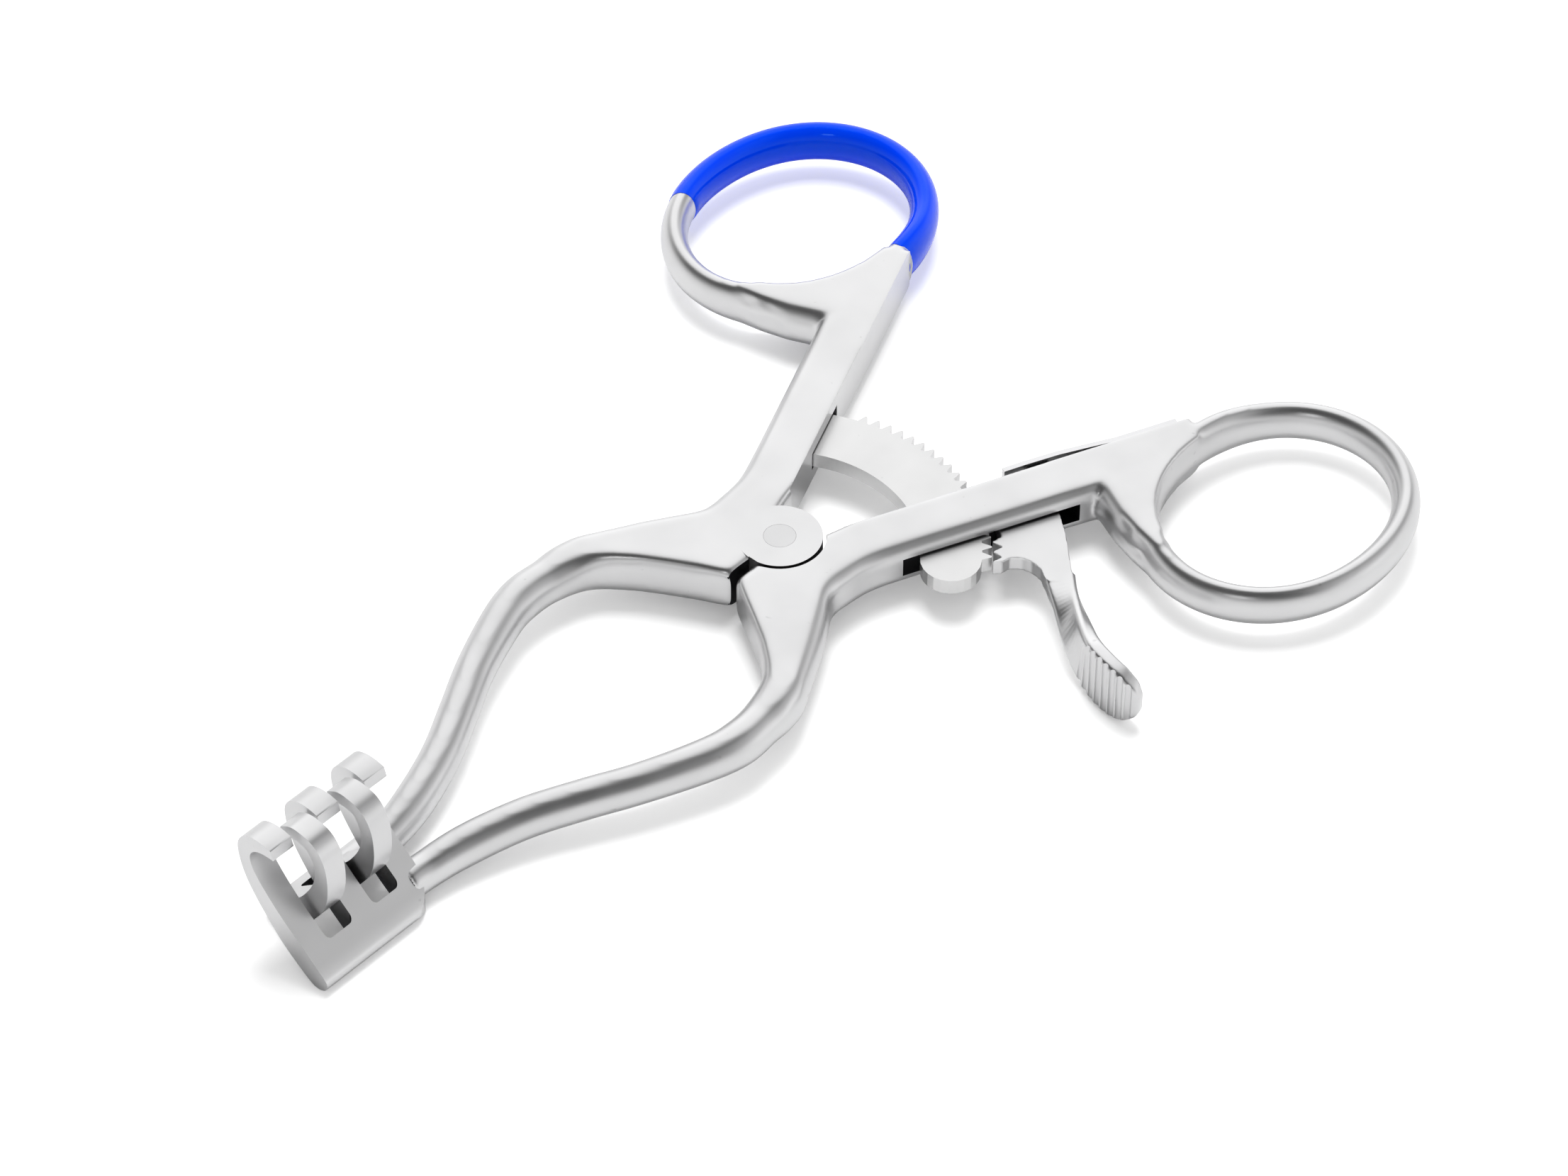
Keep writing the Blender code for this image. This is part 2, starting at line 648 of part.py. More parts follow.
def pawl_outline():
    """The flat of the pawl lever: tail, back, teeth, nose, throat and right edge."""
    outline = beside_pin([(3.7, 0.75), (0.7, 0.85), (-1.4, 1.0)])
    outline += arc(PAWL_BACK_RADIUS, *PAWL_BACK_ANGLES, 7)
    root = PAWL_TIP_RADIUS + PAWL_TOOTH_DEPTH
    for i in range(PAWL_TOOTH_COUNT):
        tip = PAWL_NOSE_ANGLE + (PAWL_TOOTH_COUNT - 1 - i) * RACK_TOOTH_PITCH
        outline.append(polar(root, tip + 0.5 * RACK_TOOTH_PITCH))
        outline.append(polar(PAWL_TIP_RADIUS, tip + TOOTH_FLAT * RACK_TOOTH_PITCH))
        outline.append(polar(PAWL_TIP_RADIUS, tip - TOOTH_FLAT * RACK_TOOTH_PITCH))
    throat = [(0.632, -0.821), (0.677, -0.830), (0.713, -0.870), (0.726, -0.924),
              (0.717, -0.987), (0.682, -1.049), (0.637, -1.121)]
    right = [(0.735, -1.184), (0.834, -1.076), (0.969, -0.924), (1.058, -0.807)]
    outline += pawl_places(throat + right)
    outline += beside_pin([(4.6, 5.8), (4.6, 3.0), (4.3, 1.3)])
    return outline


def thumb_rows():
    """Stations from the lever's neck to the pad's tip.

    Each holds x and y in tooth tip radii, then z, width, thickness in mm and the roll.
    """
    flat = RACK_THICKNESS / MM
    tall = PAD_HEIGHT / MM
    thick = PAD_THICKNESS / MM
    return [
        (0.744, -1.067, 2.7, 3.4, flat, 0),
        (0.682, -1.139, 2.7, 3.0, flat, 4),
        (0.623, -1.220, 2.65, 2.8, flat, 22),
        (0.565, -1.296, 2.5, 3.1, flat, 50),
        (0.511, -1.368, 2.3, 4.2, flat, 76),
        (0.471, -1.444, 2.1, 5.8, flat, 90),
        (0.439, -1.543, 1.95, tall, thick, 90),
        (0.417, -1.650, 1.9, tall, thick, 90),
        (0.413, -1.744, 1.9, 0.9 * tall, thick, 90),
        (0.421, -1.812, 1.9, 0.62 * tall, 0.8 * thick, 90),
        (0.430, -1.839, 1.9, 0.3 * tall, 0.45 * thick, 90),
    ]


def thumb_sections():
    """The lever's neck twists a quarter turn into the upright thumb pad."""
    rows = thumb_rows()
    places = [Vector(p) for p in pawl_places([row[:2] for row in rows])]
    sections = []
    for i, (_, _, z, width, thick, roll) in enumerate(rows):
        before = places[max(i - 1, 0)]
        after = places[min(i + 1, len(rows) - 1)]
        forward = (after - before).to_3d().normalized()
        side = Vector((-forward.y, forward.x, 0))
        turn = math.radians(roll)
        wide = side * math.cos(turn) + Vector((0, 0, 1)) * math.sin(turn)
        thin = forward.cross(wide)
        centre = Vector((*places[i], z * MM))
        radius = thick * MM * PAD_ROUNDING
        points = []
        for u, v, start in [(1, 1, 0.0), (-1, 1, 0.5), (-1, -1, 1.0), (1, -1, 1.5)]:
            for k in range(CORNER_STEPS + 1):
                angle = math.pi * (start + 0.5 * k / CORNER_STEPS)
                a = u * (width * MM / 2 - radius) + radius * math.cos(angle)
                b = v * (thick * MM / 2 - radius) + radius * math.sin(angle)
                points.append(centre + wide * a + thin * b)
        sections.append(points)
    return sections


def make_pawl(parts, cutters):
    """Pawl lever, with its origin on the pawl pin's axis."""
    low, high = rack_heights()
    pawl = prism("pawl_lever", pawl_outline(), low, high, parts)
    combine(pawl, loft("pawl_thumb", thumb_sections(), cutters), "UNION")
    hole = pawl_pin_solid("pawl_pin_hole", PIN_CLEARANCE, OVERSHOOT, cutters)
    combine(pawl, hole, "DIFFERENCE")
    for i in range(PAD_GROOVES):
        x, y = groove_place(i)
        groove = cylinder(f"pawl_groove_{i + 1}", PAD_GROOVE_RADIUS, (x, y, -PAD_HEIGHT),
                          (x, y, 2 * PAD_HEIGHT), cutters, 8)
        combine(pawl, groove, "DIFFERENCE")
    set_origin(pawl, (*pawl_pin_place(), MID_HEIGHT))
    return pawl


def groove_place(number):
    """Centre of a groove on the thumb pad's face, numbered from the neck."""
    rows = [row for row in thumb_rows() if row[5] == 90]
    places = pawl_places([row[:2] for row in rows])
    y = places[0][1] - PAD_FIRST_GROOVE - number * PAD_GROOVE_PITCH
    faces = [x - row[4] * MM / 2 for (x, _), row in zip(places, rows)]
    i = max(k for k in range(len(rows) - 1) if places[k][1] >= y)
    t = (y - places[i][1]) / (places[i + 1][1] - places[i][1])
    return faces[i] + (faces[i + 1] - faces[i]) * t, y


def make_spring(parts, cutters):
    """Leaf spring on the lower arm's inner wall, bent to reach the pawl's tail.

    Its origin is on the screw, where it hinges. Its bend is given in shares of the free
    length and offsets from the pivot line.
    """
    seat = SHANK_INNER_OFFSET - SPRING_SEAT_GAP
    free = SPRING_TIP - SPRING_SCREW_ALONG
    bend = [(0.21, seat), (0.4, 0.75 * MM), (0.61, 0.45 * MM), (0.85, 0.4 * MM), (1, 0.45 * MM)]
    route = [(SPRING_ROOT, seat), (SPRING_SCREW_ALONG, seat)]
    route += [(SPRING_SCREW_ALONG + share * free, t) for share, t in bend]
    thick = SPRING_THICKNESS
    outline = [tuple(shank_point(s, t, LOWER)) for s, t in route]
    outline += [tuple(shank_point(s, t - thick, LOWER)) for s, t in reversed(route)]
    low = MID_HEIGHT - SPRING_HEIGHT / 2
    spring = prism("leaf_spring", outline, low, low + SPRING_HEIGHT, parts)
    axis = spring_screw_axis()
    hole = cylinder("leaf_spring_hole", SPRING_SCREW_RADIUS + PIN_CLEARANCE, axis(-OVERSHOOT),
                    axis(OVERSHOOT), cutters, SMALL_HOLE_SIDES)
    combine(spring, hole, "DIFFERENCE")
    x, y = shank_point(SPRING_SCREW_ALONG, seat - thick / 2, LOWER)
    set_origin(spring, (x, y, MID_HEIGHT))
    return spring


def make_spring_screw(parts):
    """Domed screw: head over the spring, shank in the arm."""
    neck = SPRING_SEAT_GAP * 2 + SPRING_THICKNESS
    head = SPRING_HEAD_HEIGHT
    radius = SPRING_HEAD_RADIUS
    profile = [(0, neck + head), (radius * 0.5, neck + head * 0.87),
               (radius * 0.87, neck + head * 0.5), (radius, neck),
               (SPRING_SCREW_RADIUS, neck), (SPRING_SCREW_RADIUS, -SPRING_SCREW_DEPTH),
               (0, -SPRING_SCREW_DEPTH)]
    axis = spring_screw_axis()
    return turned("spring_screw", profile, axis(0), axis(-1) - axis(0), parts)


def make_pivot_screw(parts):
    """Lap screw with flush ends in both arms."""
    top = ARM_THICKNESS
    head = SCREW_HEAD_HEIGHT - PIN_CLEARANCE
    profile = [(0, top), (SCREW_HEAD_RADIUS, top), (SCREW_HEAD_RADIUS, top - head),
               (SCREW_RADIUS, top - head), (SCREW_RADIUS, head), (SCREW_HEAD_RADIUS, head),
               (SCREW_HEAD_RADIUS, 0), (0, 0)]
    return turned("pivot_screw", profile, (0, 0, 0), (0, 0, 1), parts)


def coating_tube(name, width, height, trim, collection):
    """A length of the upper arm's ring, over the coated stretch."""
    first = COATING_START - trim
    last = COATING_END + trim
    step = (last - first) / COATING_STEPS
    points = ring_points(UPPER, first, last + step, COATING_STEPS + 1)
    return tube(name, points, width / 2, False, collection, height / width, RING_MID_HEIGHT)


def make_coating(arm, parts, cutters):
    """Coloured sleeve round the ring, in a stretch of the arm turned down for it."""
    wall = COATING_THICKNESS
    core = 2 * (wall + COATING_GAP)
    sleeve = coating_tube("ring_coating", RING_WIDTH, RING_HEIGHT, 0, parts)
    bore = coating_tube("ring_coating_bore", RING_WIDTH - 2 * wall, RING_HEIGHT - 2 * wall,
                        COATING_TRIM, cutters)
    combine(sleeve, bore, "DIFFERENCE")
    band = coating_tube("upper_arm_coated_band", RING_WIDTH + OVERSHOOT, RING_HEIGHT + OVERSHOOT,
                        COATING_GAP / RING_MEAN_RADIUS, cutters)
    inner = coating_tube("upper_arm_ring_core", RING_WIDTH - core, RING_HEIGHT - core,
                         COATING_TRIM, cutters)
    combine(band, inner, "DIFFERENCE")
    combine(arm, band, "DIFFERENCE")
    return sleeve


def build():
    clear_scene()
    parts = new_collection("self_retaining_retractor")
    cutters = new_collection("cutters")
    upper = new_arm("upper_arm", UPPER, UPPER_PRONGS, parts, cutters)
    cut_rack_seat(upper, cutters)
    coating = make_coating(upper, parts, cutters)
    lower = new_arm("lower_arm", LOWER, LOWER_PRONGS, parts, cutters)
    cut_slot(lower, cutters)
    low, high = rack_heights()
    rack = prism("ratchet_rack", rack_outline(), low, high, parts)
    combine(rack, rivet_solid("ratchet_rack_hole", PIN_CLEARANCE, OVERSHOOT, cutters),
            "DIFFERENCE")
    rivet = rivet_solid("rack_rivet", 0, 0, parts)
    pawl = make_pawl(parts, cutters)
    pin = pawl_pin_solid("pawl_pin", 0, 0, parts)
    spring = make_spring(parts, cutters)
    spring_screw = make_spring_screw(parts)
    pivot_screw = make_pivot_screw(parts)
    finishes = [
        (upper, "upper_arm_steel", STEEL, 0.34),
        (lower, "lower_arm_steel", STEEL, 0.34),
        (pivot_screw, "pivot_screw_steel", BRIGHT_STEEL, 0.3),
        (rack, "rack_steel", BRIGHT_STEEL, 0.3),
        (rivet, "rivet_steel", STEEL, 0.3),
        (pawl, "pawl_steel", STEEL, 0.32),
        (pin, "pin_steel", STEEL, 0.3),
        (spring, "spring_steel", SPRING_STEEL, 0.25),
        (spring_screw, "spring_screw_steel", STEEL, 0.25),
    ]
    for item, name, colour, roughness in finishes:
        finish(item, new_material(name, colour, 1.0, roughness))
    finish(coating, new_material("ring_coating_blue", COATING_BLUE, 0.0, 0.15))
    for item in cutters.objects:
        item.hide_render = True
        item.display_type = "WIRE"


build()
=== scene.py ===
# %% [markdown]
# # Self retaining retractor
#
# The real instrument is forged stainless steel, blasted to a satin finish. Two arms with
# finger rings cross in a lap joint, a curved rack and a sprung thumb lever hold them open,
# and hooked blades stand between each other at the far end. The solids of the part give the
# places and the joints; this file makes the finer forged shapes, the finishes and the light.

# %% Load the frame and note its size
import math

import bmesh
import bpy
from mathutils import Matrix, Vector


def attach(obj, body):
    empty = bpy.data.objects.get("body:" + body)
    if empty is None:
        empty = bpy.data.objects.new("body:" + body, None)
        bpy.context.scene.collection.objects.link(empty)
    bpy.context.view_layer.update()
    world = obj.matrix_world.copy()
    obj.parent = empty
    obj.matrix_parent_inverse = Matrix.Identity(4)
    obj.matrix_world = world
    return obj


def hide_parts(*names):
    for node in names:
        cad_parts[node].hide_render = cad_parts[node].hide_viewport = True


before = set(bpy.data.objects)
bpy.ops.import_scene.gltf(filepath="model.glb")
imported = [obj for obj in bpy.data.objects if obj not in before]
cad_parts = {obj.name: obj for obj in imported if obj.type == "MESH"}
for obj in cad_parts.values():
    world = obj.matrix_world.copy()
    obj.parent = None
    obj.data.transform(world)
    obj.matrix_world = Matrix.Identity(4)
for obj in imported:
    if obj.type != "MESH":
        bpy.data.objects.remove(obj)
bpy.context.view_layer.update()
print("nodes:", sorted(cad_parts))

MM = 0.001
THICKNESS = 5.4
MIDDLE = THICKNESS / 2
SLOPE = math.radians(23.3)


def along_shank(along, out, side):
    """A place by its distance along a shank and out from the line through the pivot."""
    x = along * math.cos(SLOPE) - out * math.sin(SLOPE)
    y = along * math.sin(SLOPE) + out * math.cos(SLOPE)
    return Vector((x, side * y))


print("shank passes", [round(v, 1) for v in along_shank(30, 4, 1)], "mm")

# %% [markdown]
# ## The forging
#
# A drop forging is one lump of steel, pressed hot, so its ring, web and bar flow into each
# other with rolled edges. Sections of a rounded bar are placed along the arm and bridged.
# A subdivided cage would do too, but stations keep the shape where the photograph has it.

# %% Rounded sections, bridged into a bar
CORNER_CUTS = 7


def rounded_section(near, far, height, middle, near_round, far_round):
    """Places round an upright rounded rectangle, from one plan point to another."""
    across = far - near
    width = across.length
    across = across / width
    corners = [(width - far_round, height / 2 - far_round, far_round),
               (near_round, height / 2 - near_round, near_round),
               (near_round, near_round - height / 2, near_round),
               (width - far_round, far_round - height / 2, far_round)]
    places = []
    for quarter, (u, v, radius) in enumerate(corners):
        for step in range(CORNER_CUTS + 1):
            angle = 0.5 * math.pi * (quarter + step / CORNER_CUTS)
            plan = near + across * (u + radius * math.cos(angle))
            places.append(Vector((*plan, middle + v + radius * math.sin(angle))))
    return places


def add_loop(bm, places):
    """A ring of edges through the places, in mm."""
    made = bmesh.ops.create_circle(bm, segments=len(places), radius=1)["verts"]
    for vert, place in zip(made, places):
        vert.co = place * MM
    return list({edge for vert in made for edge in vert.link_edges})


def bridged(bm, sections):
    """Bridge a row of sections and close its two ends."""
    loops = [add_loop(bm, places) for places in sections]
    for first, second in zip(loops, loops[1:]):
        bmesh.ops.bridge_loops(bm, edges=first + second)
    for ends in (loops[0], loops[-1]):
        bmesh.ops.holes_fill(bm, edges=ends)
    bmesh.ops.recalc_face_normals(bm, faces=bm.faces)


def to_object(name, bm):
    """Turn a bmesh into an object of the scene."""
    mesh = bpy.data.meshes.new(name)
    bm.to_mesh(mesh)
    bm.free()
    made = bpy.data.objects.new(name, mesh)
    bpy.context.scene.collection.objects.link(made)
    return made


test_bar = bmesh.new()
bridged(test_bar, [rounded_section(Vector((x, 0)), Vector((x, 4)), 4, 2, 1, 1) for x in (0, 5)])
print("a short bar has", len(test_bar.faces), "faces")
test_bar.free()

# %% [markdown]
# ## Stations of an arm
#
# Each row of numbers is a station in mm: where the near (inner) and far (outer) wall of the
# arm stand in plan, how tall it is and how far its edges are rolled. The two arms share these
# rows, and at the elbow each moves and rolls its walls by its own amounts. The near wall
# keeps some stock, which is milled off straight later. A traced outline would be quicker,
# but all its edges would roll alike.

# %% Walls of the web, shank and elbow, then the round bar
SHANK_WIDTH = 5.25
INNER = 1.36
OUTER = INNER + SHANK_WIDTH
STOCK = 0.35
WALL = OUTER + 0.5
NEAR_ROLL = 0.3
# near and far wall's place along the shank, the far wall's distance out, its roll
SHANK_ROWS = [(46.95, 46.5, 5.0, 1.3), (43.0, 42.0, OUTER, 1.5), (37.5, 37.2, OUTER, 1.5),
              (34.0, 33.6, WALL, 1.4), (30.0, 29.6, WALL, 1.5), (21.0, 20.6, WALL, 1.5),
              (12.5, 11.8, WALL, 1.6), (8.5, 7.4, WALL + 0.2, 1.7)]
# near and far wall in plan, height
ELBOW_ROWS = [((3.2, 2.9), (1.0, 8.6), 5.4), ((-1.5, 1.1), (-2.0, 8.8), 5.4),
              ((-5.0, 1.1), (-4.7, 10.0), 5.4), ((-7.0, 1.1), (-6.9, 11.3), 5.4),
              ((-7.8, 1.6), (-8.2, 12.1), 5.4), ((-9.0, 3.5), (-9.9, 13.1), 5.4),
              ((-11.0, 6.8), (-12.2, 14.5), 5.4), ((-12.9, 9.5), (-14.3, 15.8), 5.4),
              ((-15.6, 11.9), (-16.9, 16.9), 5.1)]
# for each elbow row: how far the near wall stands out and its roll, then the far wall
UPPER_EDGES = [(0, 0.8, 0.7, 1.7), (0.7, 1.0, 0.5, 1.7), (1.4, 1.3, 0.8, 1.6), (1.4, 1.3, 0.9, 1.6),
               (1.4, 1.7, 0.9, 1.6), (1.3, 2.3, 0.9, 1.7), (1.2, 2.4, 0.9, 1.8),
               (0.9, 2.3, 0.8, 2.0), (0.4, 2.2, 0.4, 2.2)]
LOWER_EDGES = [(0, 0.8, 0.7, 1.8), (0.3, 0.9, 0.6, 1.9), (0.5, 1.2, 1.1, 2.2), (0.5, 1.2, 1.2, 2.3),
               (0.5, 1.2, 1.2, 2.3), (0.6, 1.3, 1.2, 2.3), (0.7, 1.6, 1.1, 2.3),
               (0.6, 1.9, 0.9, 2.3), (0.3, 2.2, 0.4, 2.3)]
# middle of the round bar in plan, its thickness, the height of its middle
BAR_ROWS = [(-19.3, 15.1, 4.7, 2.65), (-22.6, 15.3, 4.7, 2.6), (-26.3, 14.5, 4.45, 2.55),
            (-33.0, 11.75, 4.2, 2.4), (-38.5, 8.8, 4.2, 2.1), (-44.0, 6.0, 4.2, 1.7),
            (-50.0, 3.95, 4.2, 1.15), (-55.0, 3.05, 3.9, 0.75)]
BAR_TIP = (2.9, 3.9, 0.65)
BAR_ROLL = 0.475
print("stations:", len(SHANK_ROWS) + len(ELBOW_ROWS) + len(BAR_ROWS) + 1)

# %% [markdown]
# ## Smooth walls between the stations
#
# The bar of each arm ends in its blade, and the blades' prongs set where that is. Straight
# lines between the stations would leave kinks, so each stretch of wall is a curve led by its
# four nearest stations, as smooth as a draw file leaves it. A bevelled curve could do it too,
# but its section can't change from flat to round.

# %% Sections along an arm
BLADE_END = -71.7
BLADE_OVERLAP = 1.5
PRONG_WIDTH = 2.75
PRONG_PITCH = 6.3
SIDE_GAP = 0.55
LOFT_CUTS = 6


def prongs(side):
    """Lowest x and width of each prong of one arm."""
    if side == -1:
        return [BLADE_END + i * PRONG_PITCH for i in range(3)], PRONG_WIDTH
    first = BLADE_END + PRONG_WIDTH + SIDE_GAP
    width = PRONG_PITCH - PRONG_WIDTH - 2 * SIDE_GAP
    return [first + i * PRONG_PITCH for i in range(2)], width


def between(a, b, c, d, t):
    """A smooth step from b to c, led by their neighbours."""
    return (2 * b + (c - a) * t + (2 * a - 5 * b + 4 * c - d) * t * t
            + (3 * b - a - 3 * c + d) * t * t * t) * 0.5


def arm_stations(side):
    """Wall points and section sizes of an arm, from its ring to its blade."""
    rows = [(along_shank(near, INNER - STOCK, 1), along_shank(far, out, 1),
             (THICKNESS, MIDDLE, NEAR_ROLL, rolled)) for near, far, out, rolled in SHANK_ROWS]
    edges = UPPER_EDGES if side == 1 else LOWER_EDGES
    for (near, far, height), (near_move, near_round, far_move, far_round) in zip(ELBOW_ROWS, edges):
        across = (Vector(far) - Vector(near)).normalized()
        rows.append((Vector(near) - across * near_move, Vector(far) + across * far_move,
                     (height, MIDDLE, near_round, far_round)))
    starts, width = prongs(side)
    bars = BAR_ROWS + [(starts[-1] + width - BLADE_OVERLAP, *BAR_TIP)]
    for i, (x, y, size, middle) in enumerate(bars):
        before = Vector(bars[max(i - 1, 0)][:2])
        after = Vector(bars[min(i + 1, len(bars) - 1)][:2])
        ahead = (after - before).normalized()
        across = Vector((ahead.y, -ahead.x)) * size / 2
        place = Vector((x, y))
        rolled = size * BAR_ROLL
        rows.append((place - across, place + across, (size, middle, rolled, rolled)))
    return rows


def arm_sections(side):
    """Sections from the ring to the blade, with the side's own sign of y."""
    rows = arm_stations(side)
    sections = []
    for i in range(len(rows) - 1):
        a, b, c, d = (rows[min(max(k, 0), len(rows) - 1)] for k in range(i - 1, i + 3))
        for k in range(LOFT_CUTS + (i == len(rows) - 2)):
            t = k / LOFT_CUTS
            near = between(a[0], b[0], c[0], d[0], t)
            far = between(a[1], b[1], c[1], d[1], t)
            sizes = [p + (q - p) * t for p, q in zip(b[2], c[2])]
            places = rounded_section(near, far, *sizes)
            sections.append([Vector((p.x, side * p.y, p.z)) for p in places])
    return sections


print("sections of the upper arm:", len(arm_sections(1)))

# %% [markdown]
# ## Finger ring
#
# The ring is an oval rod bent to an oval. A spun circle makes a true ring, and each point
# is then drawn in or out a little. Where the ring lies in the web it grows to the shank's
# full height, and it carries on as the knuckle that runs into the shank.

# %% Ring and knuckle
RING_CENTRE = (39.95, 33.75)
RING_RADIUS = 13.7
RING_OVALNESS = 1.13
RING_WIDTH = 3.1
RING_HEIGHT = 4.6
RING_MIDDLE = 2.55
WEB_TURN = -112
WEB_HALF_TURN = 75
WEB_FADE = 35
KNUCKLE = [(25.95, 29.8), (26.65, 26.65), (27.6, 23.7), (28.85, 21.1), (29.95, 18.7),
           (30.85, 16.6)]
KNUCKLE_GROWTH = 0.6


def ring_radius(angle):
    """Distance of the oval ring's rod from the ring's centre."""
    return RING_RADIUS + RING_OVALNESS * math.cos(2 * angle)


def web_share(angle):
    """1 where the ring lies in the web, fading to 0 round the free part."""
    turn = (math.degrees(angle) - WEB_TURN + 180) % 360 - 180
    share = min(max((WEB_HALF_TURN - abs(turn)) / WEB_FADE, 0), 1)
    return share * share * (3 - 2 * share)


def add_ring(bm, side, steps=144):
    """Spin an oval section about the ring's centre, then draw the ring oval."""
    old = set(bm.verts)
    rod = bmesh.ops.create_circle(bm, segments=28, radius=RING_WIDTH / 2 * MM)["verts"]
    stand = Matrix.Rotation(math.pi / 2, 4, "X")
    tall = Matrix.Diagonal((1, 1, RING_HEIGHT / RING_WIDTH, 1))
    out = Matrix.Translation((RING_RADIUS * MM, 0, 0))
    bmesh.ops.transform(bm, matrix=out @ tall @ stand, verts=rod)
    edges = list({edge for vert in rod for edge in vert.link_edges})
    bmesh.ops.spin(bm, geom=rod + edges, axis=(0, 0, 1), cent=(0, 0, 0), steps=steps,
                   angle=2 * math.pi, use_merge=True)
    for vert in set(bm.verts) - old:
        angle = math.atan2(vert.co.y, vert.co.x)
        reach = vert.co.xy.length + (ring_radius(angle) - RING_RADIUS) * MM
        x = RING_CENTRE[0] * MM + reach * math.cos(angle)
        y = RING_CENTRE[1] * MM + reach * math.sin(angle)
        share = web_share(angle)
        tall = 1 + (THICKNESS / RING_HEIGHT - 1) * share
        middle = RING_MIDDLE + (MIDDLE - RING_MIDDLE) * share
        vert.co = (x, side * y, vert.co.z * tall + middle * MM)


def add_knuckle(bm, side):
    """The rod from the ring to the shank, a little wider at each step."""
    sections = []
    for i, (x, y) in enumerate(KNUCKLE):
        half = RING_WIDTH / 2 + KNUCKLE_GROWTH * i / (len(KNUCKLE) - 1)
        before = Vector(KNUCKLE[max(i - 1, 0)])
        after = Vector(KNUCKLE[min(i + 1, len(KNUCKLE) - 1)])
        ahead = (after - before).normalized()
        across = Vector((ahead.y, -ahead.x))
        places = []
        for k in range(24):
            angle = 2 * math.pi * k / 24
            plan = Vector((x, y)) + across * half * math.cos(angle)
            z = MIDDLE + THICKNESS / 2 * math.sin(angle)
            places.append(Vector((plan.x, side * plan.y, z)))
        sections.append(places)
    bridged(bm, sections)


print("ring is", round(2 * (ring_radius(0) - RING_WIDTH / 2), 1), "mm long inside")

# %% [markdown]
# ## Plates from an outline
#
# The flat web between ring and shank has one outline all the way down, and so have the
# ring's opening, the slots and the pocket. An outline in plan is filled and raised to a
# plate, which is either part of the metal or a cutter.

# %% Web and ring opening
WEB_OUTLINE = [(30.0, 0.9), (46.5, 0.9), (45.7, 5.4), (42.0, 8.0), (39.5, 11.0), (37.2, 14.5),
               (35.62, 17.1), (35.02, 13.93), (34.72, 10.85), (34.84, 7.97), (34.9, 4.5),
               (30.0, 4.5)]
OPENING_TRIM = 0.35
OVERSHOOT = 2


def flat_plate(name, outline, low, high):
    """A closed plan outline in mm, raised from one height to another."""
    bm = bmesh.new()
    edges = add_loop(bm, [Vector((x, y, low)) for x, y in outline])
    face = bmesh.ops.contextual_create(bm, geom=edges)["faces"]
    raised = bmesh.ops.extrude_face_region(bm, geom=face)["geom"]
    tops = [item for item in raised if isinstance(item, bmesh.types.BMVert)]
    bmesh.ops.translate(bm, vec=(0, 0, (high - low) * MM), verts=tops)
    bmesh.ops.recalc_face_normals(bm, faces=bm.faces)
    return to_object(name, bm)


def ring_opening(side, count=96):
    """A cutter for the room inside the ring."""
    places = []
    for k in range(count):
        angle = 2 * math.pi * k / count
        reach = ring_radius(angle) - RING_WIDTH / 2 + OPENING_TRIM
        places.append((RING_CENTRE[0] + reach * math.cos(angle),
                       side * (RING_CENTRE[1] + reach * math.sin(angle))))
    return flat_plate("ring opening", places, -OVERSHOOT, THICKNESS + OVERSHOOT)


def web_plate(side):
    return flat_plate("web", [along_shank(*place, side) for place in WEB_OUTLINE], 0, THICKNESS)


print("web outline has", len(WEB_OUTLINE), "corners")

# %% [markdown]
# ## From blank to machined arm
#
# The blank is fused by a voxel remesh, which melts the crossing forms together the way the
# die does, and a few rounds of smoothing roll the seams. A boolean union would leave them
# sharp. Cutting comes after that, so the milled walls, holes and slots keep crisp edges.

# %% Fuse, smooth and cut
VOXEL = 0.24 * MM
SMOOTHING = 9
INNER_WALL = (7, 46.95)


def applied(item):
    """Turn an object's modifiers into its mesh."""
    graph = bpy.context.evaluated_depsgraph_get()
    mesh = bpy.data.meshes.new_from_object(item.evaluated_get(graph))
    item.modifiers.clear()
    item.data = mesh
    return item


def cut(item, tool, operation="DIFFERENCE"):
    """Join or cut one solid with another, then throw the tool away."""
    step = item.modifiers.new(tool.name, "BOOLEAN")
    step.operation = operation
    step.solver = "MANIFOLD"
    step.object = tool
    applied(item)
    bpy.data.objects.remove(tool, do_unlink=True)
    return item


def merged(*items):
    """Several closed solids as one mesh, still crossing each other."""
    bm = bmesh.new()
    for item in items:
        bm.from_mesh(item.data)
        bpy.data.objects.remove(item, do_unlink=True)
    return bm


def fused(name, bm, rounds, voxel=VOXEL):
    """Melt crossing solids into one skin and smooth it."""
    blank = to_object(name, bm)
    melt = blank.modifiers.new("melt", "REMESH")
    melt.mode = "VOXEL"
    melt.voxel_size = voxel
    applied(blank)
    bm = bmesh.new()
    bm.from_mesh(blank.data)
    for _ in range(rounds):
        bmesh.ops.smooth_vert(bm, verts=bm.verts, factor=0.5, use_axis_x=True,
                              use_axis_y=True, use_axis_z=True)
    bm.to_mesh(blank.data)
    bm.free()
    return blank


def forged_blank(side):
    """One arm's blank, with the shank's near wall milled straight."""
    bm = bmesh.new()
    bridged(bm, arm_sections(side))
    body = cut(to_object("body", bm), ring_opening(side))
    web = cut(web_plate(side), ring_opening(side))
    ring = bmesh.new()
    add_ring(ring, side)
    add_knuckle(ring, side)
    bm = merged(body, web, to_object("ring", ring))
    blank = fused("forged arm", bm, SMOOTHING)
    first, last = INNER_WALL
    line = [(first, INNER - 3), (last, INNER - 3), (last, INNER), (first, INNER)]
    wall = [along_shank(*place, side) for place in line]
    return cut(blank, flat_plate("inner wall", wall, -1, THICKNESS + 1))


print("the blank is fused from voxels of", round(VOXEL / MM, 2), "mm")

